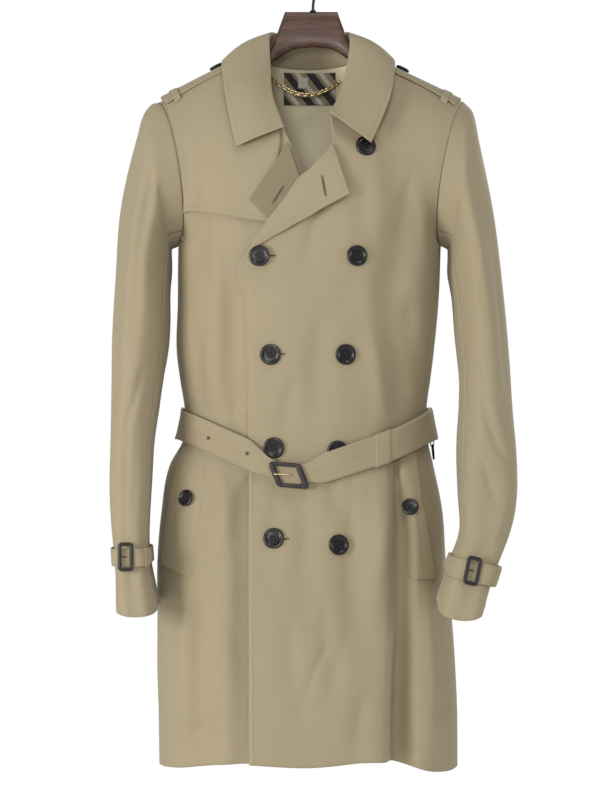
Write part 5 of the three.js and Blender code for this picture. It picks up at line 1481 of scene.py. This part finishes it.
def band_round(name, surface, outward, steps, start, end, half, inside, outside, flare=0.0):
    """A band of cloth round a strap, between two heights over the surface below it."""
    angles = np.linspace(0, 2 * math.pi, 40, endpoint=False)
    v = signed_power(np.cos(angles), 0.35)
    level = signed_power(np.sin(angles), 0.5)
    p, _ = np.meshgrid(np.linspace(start, end, 8), angles, indexing="ij")
    across = np.broadcast_to(v * half, p.shape)
    normal = normal_of(surface, p, across, *steps) * outward
    up = unit(surface(p, across + 0.5) - surface(p, across - 0.5))
    lift = lerp(inside - BAND_CLOTH, outside + BAND_CLOTH, (level + 1) / 2) - flare * v
    points = surface(p, across) + normal * lift[:, None] + up * (v * BAND_CLOTH)[:, None]
    ahead = np.roll(points, -1, axis=1) - np.roll(points, 1, axis=1)
    normals = unit(np.cross(ahead, np.gradient(points, axis=0)))
    normals = normals * np.sign(np.sum(normals * (points - points.mean(axis=(0, 1)))))
    cloth(name + "_look", points, normals, BAND_CLOTH, "strap", closed=True, stitched="bt", held="folded")


for name, start, end, outside, flare in (
    ("belt_keeper", 0.345, 0.43, BELT_TAIL_LIFT + BAND_SLACK, 0),
    ("left_belt_loop", 0.99, 1.07, BELT_TAIL_LIFT + BAND_SLACK, BELT_FLARE),
    ("right_belt_loop", 2.96, 3.04, BELT_LIFT + BAND_SLACK, BELT_FLARE),
):
    band_round(name, belt_surface, 1, BELT_STEPS, start, end, BELT_WIDTH / 2 + 0.5, 5.0, outside, flare)


# Cuff straps
CUFFS = {
    "right": {"row": 10.83, "buckle": 1.33, "turn": 1, "start": 0.13},
    "left": {"row": 11, "buckle": 1.74, "turn": -1, "start": 0.36},
}
STRAP_WIDTH = 27
STRAP_LIFT = 3.8
STRAP_TAIL_LIFT = 6.8
STRAP_CLOTH = 2
STRAP_TAIL = 1.25
STRAP_TIP = {"reach": 0.22, "half": 0.35, "power": 1.4}
CUFF_LOOP = {"from": 0.86, "to": 1.04, "inside": 1.4}
CUFF_BUCKLE = {"width": 21, "height": 39, "bar": 5.2, "rail": 5.2, "depth": 3.4}
CUFF_PRONG = [(1, 0, 1.4), (-2, 0, 2.0), (-8.5, 0, 2.6)]
CUFF_PRONG_RADII = [0.9, 0.9, 0.7]
FULL = 2 * math.pi


def make_cuff(name, cuff):
    """A strap round the cuff with its buckle, loop and prong."""
    ends = [sleeve(name, row, cuff["buckle"], creased=False) for row in (12.0, 10.0)]
    per_row = float(np.linalg.norm(ends[0] - ends[1])) / 2

    def surface(along, across):
        row, angle = cuff["row"] - across / per_row, cuff["buckle"] + cuff["turn"] * along
        return sleeve(name, row, angle, creased=False)

    def lift(p, _):
        return lerp(STRAP_LIFT, STRAP_TAIL_LIFT, ease(FULL - 0.8, FULL - 0.3, p))

    def half(p):
        tip = np.clip((p - FULL - STRAP_TAIL) / STRAP_TIP["reach"] + 1, 0, 1) ** STRAP_TIP["power"]
        return STRAP_WIDTH / 2 * lerp(1, STRAP_TIP["half"], tip)

    outward = -SIDES[name]["sign"] * cuff["turn"]
    ps = np.concatenate([
        np.linspace(cuff["start"], FULL - 0.9, 150)[:-1], np.linspace(FULL - 0.9, FULL + STRAP_TAIL, 80),
    ])
    points, normals = strap_grid(surface, lift, half, ps, np.linspace(-1, 1, 11), outward, (STEP * 4, 0.5))
    cloth(f"{name}_cuff_strap_look", points, normals, STRAP_CLOTH, "strap", stitched="btr")
    cuff_frame = place_on(surface, 0, 0, STRAP_TAIL_LIFT + 1.8, outward, BELT_STEPS)
    buckle(f"{name}_cuff_buckle", cuff_frame, **CUFF_BUCKLE)
    band_round(f"{name}_cuff_loop", surface, outward, BELT_STEPS, CUFF_LOOP["from"], CUFF_LOOP["to"],
               STRAP_WIDTH / 2 + BAND_SLACK, CUFF_LOOP["inside"], STRAP_TAIL_LIFT + 0.5)
    tube(f"{name}_cuff_prong", put_in(cuff_frame, CUFF_PRONG), CUFF_PRONG_RADII, 10, "dark_metal")


for name, cuff in CUFFS.items():
    make_cuff(name, cuff)


# Buttons
BUTTON_SIZES = {"main": (14.2, 4.2), "pocket": (11.5, 3.6), "epaulette": (10.2, 3.4)}
BUTTON_SIDES = 64
BUTTON_FACE = chart(["r", "z"], [
    (0, 0.66), (0.5, 0.68), (0.64, 0.74), (0.74, 0.96), (0.84, 1.0), (0.93, 0.9), (1.0, 0.5),
])
BUTTON_RINGS = np.concatenate([
    np.linspace(0, 0.34, 22), np.linspace(0.36, 0.62, 8), np.linspace(0.66, 1.0, 14),
])
BUTTON_UNDER = [(0.97, 0.2), (0.82, 0.0), (0.4, 0.0)]
HOLE = {"off": 0.15, "radius": 0.085, "depth": 1.5}
THREAD_PATH = [(-1, 0.35), (-0.9, 0.72), (0, 0.82), (0.9, 0.72), (1, 0.35)]
THREAD_RADIUS = 0.45


def button(node, place, normal, kind, turn):
    """A turned horn button: rim, dished face and four holes, with the thread that holds it."""
    radius, thickness = BUTTON_SIZES[kind]
    angles = turns_round(BUTTON_SIDES)
    share, angle = np.meshgrid(BUTTON_RINGS, angles, indexing="ij")
    x, y = share * radius * np.cos(angle), share * radius * np.sin(angle)
    top = BUTTON_FACE("z", share) * thickness
    hole_off = radius * HOLE["off"]
    for hx in (-hole_off, hole_off):
        for hy in (-hole_off, hole_off):
            top = top - HOLE["depth"] * ease(1.15, 0.75, np.hypot(x - hx, y - hy) / (radius * HOLE["radius"]))
    along = unit(np.cross(beside(normal), normal))
    up = np.cross(normal, along)
    along, up = along * math.cos(turn) + up * math.sin(turn), up * math.cos(turn) - along * math.sin(turn)
    here = (place, along, up, normal)
    places = [put_in(here, np.stack([x, y, top], -1))]
    for share_r, share_z in BUTTON_UNDER:
        ring_radius = radius * share_r
        ring = point(np.cos(angles) * ring_radius, np.sin(angles) * ring_radius, thickness * share_z)
        places.append(put_in(here, ring)[None])
    grid = np.concatenate(places)
    uv = np.stack(np.meshgrid(np.arange(BUTTON_SIDES), np.arange(len(grid))), -1).reshape(-1, 2).astype(float)
    faces = ring_faces(len(grid), BUTTON_SIDES, first_cap=False)
    solid(f"{node}_look", grid.reshape(-1, 3), faces, uv, "horn", [node])
    for k, hy in enumerate((-hole_off, hole_off)):
        path = [(hx * hole_off, hy, thickness * height) for hx, height in THREAD_PATH]
        tube(f"{node}_thread_{k}", put_in(here, path), THREAD_RADIUS, 8, "dark_thread")


def button_on_front(node, x, z, lift, kind, turn):
    button(node, *front_frame(x, z, lift + 0.5), kind, turn)


# Node, place, height over the lapped front, turn
MAIN_BUTTONS = [
    ("button_0_left", 70, -263, -0.2, 0.4), ("button_1_right", -71, -413, 3.6, 0.1),
    ("button_1_left", 57, -413, -0.2, 0.7), ("button_2_right", -58, -546, -0.2, 0.2),
    ("button_2_left", 43, -546, -0.2, 0.5), ("button_3_right", -53.5, -672.5, 0.7, 0.3),
    ("button_3_left", 32, -677, 0, 0.9), ("button_4_right", -53.5, -796, 0, 0.15),
    ("button_4_left", 33, -804, 0, 0.6),
]
for node, x, z, over, turn in MAIN_BUTTONS:
    button_on_front(node, x, z, float(top_lift(x, z)) + over, "main", turn)


# Pocket welts and their buttons
WELT_CLOTH = 2
WELT_LIFT = WELT_CLOTH + 1.1
WELTS = {
    "left": {
        "inner": [(112, -668), (129, -852)],
        "outer": [(139, -664), (148, -742), (158, -801), (167, -854)],
        "button": (133, -755),
    },
    "right": {
        "inner": [(-146, -676), (-164, -852)],
        "outer": [(-175, -664), (-187, -697), (-197.5, -746), (-206.5, -812), (-209.5, -836)],
        "button": (-172.5, -743),
    },
}


def make_welt(name, welt, base):
    """The welt of a pocket, loose along its outer edge, with its button."""
    def lift(x, z, u, v):
        return base(x, z) + 0.1 + WELT_LIFT * ease(0, 0.6, v) + 1.2 * ease(0.6, 1, v)

    front_patch(f"{name}_pocket_welt", welt["inner"], welt["outer"], 60, 24, WELT_CLOTH, lift, "double",
                stitched="rt")
    x, z = welt["button"]
    button_on_front(f"{name}_pocket_button", x, z, float(lift(x, z, 0, 0.6)), "pocket", 0.3)


make_welt("left", WELTS["left"], top_lift)
make_welt("right", WELTS["right"], no_lift)


# Epaulettes with their buttons and small bands
EPAULETTE_CLOTH = 2.4
EPAULETTE = {"from": 0.975, "to": 0.5, "front": 0.165, "back": 0.095, "taper": 0.14}
EPAULETTE_LIFT = {"right": FLAP_LIFT + EPAULETTE_CLOTH + 0.6, "left": EPAULETTE_CLOTH + 1.1}
EPAULETTE_BUTTON = {"right": 0.63, "left": 0.637}
CARRIER_CLOTH = 1.2
CARRIER = {"from": 0.922, "to": 0.878, "reach": 1.22, "bend": 1.02, "top": 1.6, "foot": 0.6 - EPAULETTE_CLOTH}
SHOULDER_STEPS = (0.01, 0.1)


def shoulder_form(side, share, v):
    """The body over a shoulder seam: v is -1 at the epaulette's front edge and 1 at its back edge."""
    narrow = 1 - EPAULETTE["taper"] * ((EPAULETTE["from"] - share) / (EPAULETTE["from"] - EPAULETTE["to"]))
    reach = np.abs(v) * narrow * np.where(v < 0, EPAULETTE["front"], EPAULETTE["back"])
    height = SHOULDER_Z - reach * (SHOULDER_Z - UNDERARM_Z)
    front, back = (body(share * side["sign"], face, height, 0) for face in (-1, 1))
    return np.where((v < 0)[..., None], front, back)


def make_epaulette(name, side):
    """An epaulette with its button, and the carrier over it."""
    form = lambda share, v: shoulder_form(side, share, v)
    lift = EPAULETTE_LIFT[name]

    def over(shares, vs, height):
        share, v = np.meshgrid(shares, vs)
        normals = normal_of(form, share, v, *SHOULDER_STEPS) * side["sign"]
        points = form(share, v) + normals * height(v)[..., None]
        for _ in range(2):
            smooth_rows(points, 2)
        return points, normals

    points, normals = over(np.linspace(EPAULETTE["from"], EPAULETTE["to"], 44), np.linspace(-1, 1, 31),
                           lambda v: np.full(v.shape, lift))
    cloth(f"{name}_epaulette_look", points, normals, EPAULETTE_CLOTH, "double", stitched="blt")
    spot, middle = np.array(EPAULETTE_BUTTON[name]), np.array(0.0)
    normal = normal_of(form, spot, middle, *SHOULDER_STEPS) * side["sign"]
    button(f"{name}_epaulette_button", form(spot, middle) + normal * (lift + 0.5), normal, "epaulette", 0.4)
    bent = lambda v: lerp(CARRIER["top"], CARRIER["foot"], ease(CARRIER["bend"], CARRIER["reach"], np.abs(v)))
    points, normals = over(np.linspace(CARRIER["from"], CARRIER["to"], 6),
                           np.linspace(-CARRIER["reach"], CARRIER["reach"], 41), lambda v: lift + bent(v))
    cloth(f"{name}_epaulette_carrier_look", points, normals, CARRIER_CLOTH, "strap")


for name, side in SIDES.items():
    make_epaulette(name, side)


# Buttonholes, and eyelets in the belt
def buttonhole(name, piece_name, start, end, width):
    """A worked buttonhole: a ring of thread round a dark slit, on a piece of cloth; the slit's darkness is
    painted shade.
    """
    start, end = np.array(start, float), np.array(end, float)
    way = (end - start) / np.linalg.norm(end - start)
    side_way = np.array((-way[1], way[0]))
    turns = np.linspace(0, math.pi, 7)
    outline = [start + width * (side_way * math.cos(a) - way * math.sin(a)) for a in turns]
    outline += [end + width * (-side_way * math.cos(a) + way * math.sin(a)) for a in turns]
    places, normals = on_piece(piece_name, *even_loop(np.array(outline), 60).T)
    tube(f"{name}_thread", places + normals * 0.15, 0.55, 8, "thread", closed=True)
    places, normals = on_piece(piece_name, *lerp(start, end, np.linspace(0, 1, 16)[:, None]).T)
    radii = 0.6 - 0.3 * np.linspace(-1, 1, 16) ** 2
    # The slit is a thin dark tube: painted shade in the cut.
    tube(f"{name}_slit", places + normals * 0.05, radii, 8, "dark_thread")


buttonhole("left_lapel_buttonhole", "left_lapel_look", (11.6, -305), (16.4, -331), 1.3)
buttonhole("right_lapel_buttonhole", "right_lapel_look", (-41, -318), (-55, -340), 1.3)
for k, (x, z) in enumerate([(-71, -413), (-58, -546), (-53.5, -796)]):
    buttonhole(f"front_buttonhole_{k + 1}", "left_front_look", (x + 2, z - 0.2), (x + 19.5, z + 0.4), 1.1)


EYELET = {"radius": 2.3, "wire": 0.75, "sink": 0.5, "stand": 0.12, "hole": [1.6, 1.6, 1.5]}
PHOTO_MIDDLE = (300, 400)
FOCAL_PIXELS = 2132
EYELETS = [(207.6, 438.4), (247, 453.6), (315.5, 471), (357, 458), (398, 444)]
EYELET_Y = -100


def eyelet(name, x, z):
    """A ring of thread round a dark hole in the belt; the hole's darkness is painted shade."""
    turns = np.linspace(0, 2 * math.pi, 28, endpoint=False)
    radius = EYELET["radius"]
    places, normals = on_piece("belt_look", x + radius * np.cos(turns), z + radius * np.sin(turns))
    tube(name, places + normals * 0.1, EYELET["wire"], 10, "thread", closed=True)
    place, normal = on_piece("belt_look", [x], [z])
    disc = place[0] + normal[0] * np.array([[-EYELET["sink"]], [0], [EYELET["stand"]]])
    # The hole is a dark disc: painted shade.
    tube(f"{name}_hole", disc, EYELET["hole"], 20, "dark_thread")


def seen_at(px, py, y):
    """The place at depth y that the camera sees at a pixel of the photograph."""
    camera_x, camera_y, camera_z = (value / MM for value in CAMERA["place"])
    per_pixel = (y - camera_y) / FOCAL_PIXELS
    return camera_x + (px - PHOTO_MIDDLE[0]) * per_pixel, camera_z - (py - PHOTO_MIDDLE[1]) * per_pixel


for k, (px, py) in enumerate(EYELETS):
    eyelet(f"belt_eyelet_{k + 1}", *seen_at(px, py, EYELET_Y))


# D-ring and its tab
RING_WIRE = 1.3
RING = {"x": 168.6, "y": 9, "z": -671.4, "half": 11, "straight": 8, "drop": 20, "lean": 0.09}
TAB = {"x": 168.2, "z": -667, "width": 6, "depth": 14, "half": 5.5, "cloth": 1.1}


def make_ring():
    path = [(0, y, 0) for y in np.linspace(-RING["straight"], RING["straight"], 7)]
    for angle in np.linspace(0.15, math.pi - 0.15, 26):
        path.append((0, RING["half"] * math.cos(angle), -RING["drop"] * math.sin(angle) ** 0.75))
    x, y, z = np.array(path).T
    lean_cos, lean_sin = math.cos(-RING["lean"]), math.sin(-RING["lean"])
    x, z = x * lean_cos + z * lean_sin, z * lean_cos - x * lean_sin
    path = point(RING["x"] + x, RING["y"] + y, RING["z"] + z)
    tube("d_ring_look", path, RING_WIRE, 12, "dark_metal", nodes=["d_ring"], closed=True,
         body_name="ring")


def make_tab():
    """The tab that holds the ring: a flattened loop of cloth round its straight bar."""
    angles = np.linspace(0, 2 * math.pi, 32, endpoint=False)
    z = signed_power(np.sin(angles), 0.5) * TAB["depth"] / 2
    x = signed_power(np.cos(angles), 0.5) * TAB["width"] / 2 * lerp(0.45, 1, ease(3, -2.5, z))
    y = np.linspace(-TAB["half"], TAB["half"], 6)[:, None]
    normals = unit(point(x + 0 * y, 0, z * 0.8))
    cloth("d_ring_tab_look", point(TAB["x"] + x, RING["y"] + y, TAB["z"] + z), normals, TAB["cloth"], "strap",
          closed=True, held="folded")


make_ring()
make_tab()


# Chain of curb links at the neck
CHAIN_ENDS = [(-0.262, -209), (0.178, -213)]
CHAIN_OFF = -PATCH_LIFT + PATCH_CLOTH
CHAIN_SAG = {"ahead": 8, "down": 25}
LINK = {"length": 9.6, "width": 7.2, "wire": 1.2, "pitch": 4.9, "twist": 38, "round": 20, "sides": 8}
STUD = {"foot": 0.2, "head": 3.4, "radius": 2.6, "narrowed": 1.2}


def on_lining(p, height, off):
    return back_form(p, height) + normal_of(back_form, p, height, STEP, 0.5) * off


def make_chain():
    """Flat curb links, turned by turns to one side and the other, and the studs that hold the two ends."""
    chain_from, chain_to = (on_lining(p, height, CHAIN_OFF + 2.5) for p, height in CHAIN_ENDS)
    share = np.linspace(0, 1, 400)
    hang = 4 * share * (1 - share)
    path = lerp(chain_from, chain_to, share[:, None])
    path = path + point(0, -CHAIN_SAG["ahead"] * hang, -CHAIN_SAG["down"] * hang)
    run = path_run(path)
    along_path = lambda length: np.array([np.interp(length, run, column) for column in path.T])
    count = int(run[-1] / LINK["pitch"])
    angles, ring = turns_round(LINK["round"])[:, None], turns_round(LINK["sides"])[:, None]
    flat_x = np.cos(angles) * (LINK["length"] / 2 - LINK["wire"])
    flat_y = signed_power(np.sin(angles), 0.8) * (LINK["width"] / 2 - LINK["wire"])
    per_link = LINK["round"] * LINK["sides"]
    places, faces = [], []
    for k in range(count):
        at = (k + 0.5) * run[-1] / count
        centre = along_path(at)
        ahead = unit(along_path(min(at + 1, run[-1])) - centre + 1e-6)
        out = unit(np.array((0.0, -1, 0)) - ahead * -ahead[1])
        twist = math.radians(LINK["twist"] if k % 2 else -LINK["twist"])
        flat = np.cross(out, ahead) * math.cos(twist) + out * math.sin(twist)
        loop = centre + flat_x * ahead + flat_y * flat
        tangent = unit(np.roll(loop, -1, axis=0) - np.roll(loop, 1, axis=0))
        face_way = np.cross(ahead, flat)
        across = np.cross(tangent, face_way)
        grid = loop[:, None] + LINK["wire"] * (across[:, None] * np.cos(ring) + face_way * np.sin(ring))
        places.append(grid.reshape(-1, 3))
        faces.append(grid_faces(LINK["round"] + 1, LINK["sides"], True) % per_link + k * per_link)
    places, faces = np.concatenate(places), np.concatenate(faces).tolist()
    solid("neck_chain_look", places, faces, np.zeros((len(places), 2)), "brass", ["neck_chain"])
    for k, end in enumerate(CHAIN_ENDS):
        foot = on_lining(*end, CHAIN_OFF - PATCH_CLOTH + STUD["foot"])
        head = on_lining(*end, CHAIN_OFF + STUD["head"])
        steps = np.linspace(0, 1, 8)
        radii = STUD["radius"] - STUD["narrowed"] * steps**3
        tube(f"chain_stud_{k}", lerp(foot, head, steps[:, None]), radii, 20, "brass")


make_chain()


# Hanger and hook
HANGER_NECK = [(-87, -131), (-73, -127), (-64, -119), (-55.5, -108), (-52.5, -98), (-39.5, -62), (34.5, -62),
               (47.5, -98), (50.5, -108), (57, -119), (62, -130), (72, -134)]


hanger_bottom = chart(["x", "z"], [(0, -111), (30, -116), (52, -130), (100, -160), (150, -184), (203, -205)])
hanger_half = chart(["x", "y"], [(0, 7), (50, 7), (90, 8.5), (150, 11), (203, 12)])
arm_drop = chart(["share", "drop"], [(0.1, 6), (0.3, 3.6), (0.5, 2.9), (0.92, 2.9)])
ARM_SHARES = [0.16, 0.32, 0.48, 0.64, 0.78, 0.87, 0.92]
HANGER_SIDES = 44
HANGER_Y = 1.5
HANGER_POWER = 2 / 3.4
NECK_EDGES = [-39.5, 34.5]


def make_hanger():
    """The shaped wooden hanger: a rounded section along its arms."""
    def arm(side, share):
        seam = lerp(side["neck"], side["shoulder"], share)
        return seam[0], seam[2] - float(arm_drop("drop", share))

    right_arm, left_arm = ([arm(side, share) for share in ARM_SHARES] for side in (RIGHT, LEFT))
    knots = np.array(right_arm[::-1] + HANGER_NECK + left_arm)
    first, last = knots[0, 0], knots[-1, 0]
    x = np.unique(np.concatenate([np.linspace(first, last, 150), NECK_EDGES]))
    top = np.interp(x, knots[:, 0], knots[:, 1])
    bottom = hanger_bottom("z", np.abs(x))
    taper = np.minimum(ease(first, first + 4, x), ease(last, last - 4, x)) * 0.25 + 0.75
    angles = turns_round(HANGER_SIDES)
    y = HANGER_Y + (hanger_half("y", np.abs(x)) * taper)[:, None] * signed_power(np.sin(angles), HANGER_POWER)
    half_z = ((top - bottom) / 2 * taper)[:, None] * signed_power(np.cos(angles), HANGER_POWER)
    grid = point(x[:, None], y, ((top + bottom) / 2)[:, None] + half_z)
    uv = np.stack(np.broadcast_arrays(x[:, None], angles[None] * 10), -1).reshape(-1, 2)
    faces = ring_faces(len(x), HANGER_SIDES)
    solid("hanger_look", grid.reshape(-1, 3), faces, uv, "wood", ["hanger"])


make_hanger()

HOOK_WIRE = 2.0
HOOK_RADIUS = 20.0
HOOK_FOOT = np.array((0.0, 0, -61.6))
HOOK_RISE = np.array((0.0, 0, -46))
HOOK_BEND = np.array((-9.0, 0, -4.5))
HOOK_TIP_RADII = (1.9, 1.6, 1.0)
FERRULE = [(0, 0, -61.9), (0, 0, -60.6), (0, 0, -59.6)]
FERRULE_RADII = [4.6, 4.4, 3.0]


def make_hook():
    """The wire hook: a shank that bends into an open loop, and the ferrule at its foot."""
    angles = np.linspace(-1.05, 3.5, 60)
    loop = point(HOOK_RADIUS * np.cos(angles), 0, HOOK_WIRE - HOOK_RADIUS + HOOK_RADIUS * np.sin(angles))
    share = np.linspace(0, 1, 24)[:-1, None]
    rest = 1 - share
    bend = loop[0] + HOOK_BEND
    shank = rest**3 * HOOK_FOOT + 3 * rest**2 * share * HOOK_RISE
    shank = shank + 3 * rest * share**2 * bend + share**3 * loop[0]
    path = np.concatenate([shank, loop])
    radii = np.full(len(path), HOOK_WIRE)
    radii[-len(HOOK_TIP_RADII):] = HOOK_TIP_RADII
    tube("hook_look", path, radii, 20, "dark_metal", nodes=["hook"])
    tube("hook_ferrule", FERRULE, FERRULE_RADII, 28, "dark_metal")


make_hook()


# Light, floor and world
WORLD_LIGHT = 0.36
FLOOR = [(-3, -3.2, -1.6), (3, -3.2, -1.6), (3, 0.9, -1.6), (-3, 0.9, -1.6)]
FLOOR_COLOUR = (0.86, 0.86, 0.85, 1)
LAMPS_AIM = (0, 0, -0.6)
# name, place, size, power, colour
LAMPS = [
    ("key", (-2.3, -1.9, -0.5), 1.0, 56, (1.0, 0.99, 0.97)),
    ("front", (-0.4, -3.3, -0.2), 0.6, 27, (1.0, 1.0, 1.0)),
    ("rim", (2.4, -0.6, -0.5), 0.8, 14, (0.97, 0.985, 1.0)),
    ("top", (0.3, -1.2, 1.3), 0.8, 10, (1.0, 1.0, 1.0)),
    ("back", (1.2, 2.4, 0.5), 1.2, 26, (1.0, 1.0, 1.0)),
]


def make_floor():
    mesh = bpy.data.meshes.new("floor")
    mesh.from_pydata(FLOOR, [], [(0, 1, 2, 3)])
    graph = Graph("pale_floor")
    cloud = graph.noise(graph.place(), 3, 2, 0.5)
    base = graph.scaled(FLOOR_COLOUR, graph.total(0.98, (cloud, 0.04)))
    graph.put(graph.shader.inputs["Base Color"], base)
    graph.shader.inputs["Roughness"].default_value = 0.9
    mesh.materials.append(graph.material)
    piece = bpy.data.objects.new("floor", mesh)
    bpy.context.collection.objects.link(piece)


def make_world():
    """A white world that the camera sees at full strength and the coat at less."""
    world = bpy.data.worlds.new("studio")
    world.use_nodes = True
    tree = world.node_tree
    background = tree.nodes["Background"]
    background.inputs["Color"].default_value = (1, 1, 1, 1)
    seen = tree.nodes.new("ShaderNodeLightPath")
    strength = tree.nodes.new("ShaderNodeMath")
    strength.operation = "MULTIPLY_ADD"
    strength.inputs[1].default_value = 1 - WORLD_LIGHT
    strength.inputs[2].default_value = WORLD_LIGHT
    tree.links.new(seen.outputs["Is Camera Ray"], strength.inputs[0])
    tree.links.new(strength.outputs[0], background.inputs["Strength"])
    bpy.context.scene.world = world


def make_lamp(name, place, size, power, colour):
    data = bpy.data.lights.new(name, "AREA")
    data.shape = "SQUARE"
    data.size = size
    data.energy = power
    data.color = colour
    light = bpy.data.objects.new(name, data)
    light.location = place
    aim = np.array(LAMPS_AIM) - np.array(place)
    yaw = math.atan2(-aim[0], aim[1])
    pitch = math.atan2(math.hypot(aim[0], aim[1]), -aim[2])
    light.rotation_euler = (pitch, 0, yaw)
    bpy.context.collection.objects.link(light)


make_floor()
make_world()
for lamp in LAMPS:
    make_lamp(*lamp)


bpy.context.scene.view_settings.view_transform = "Standard"
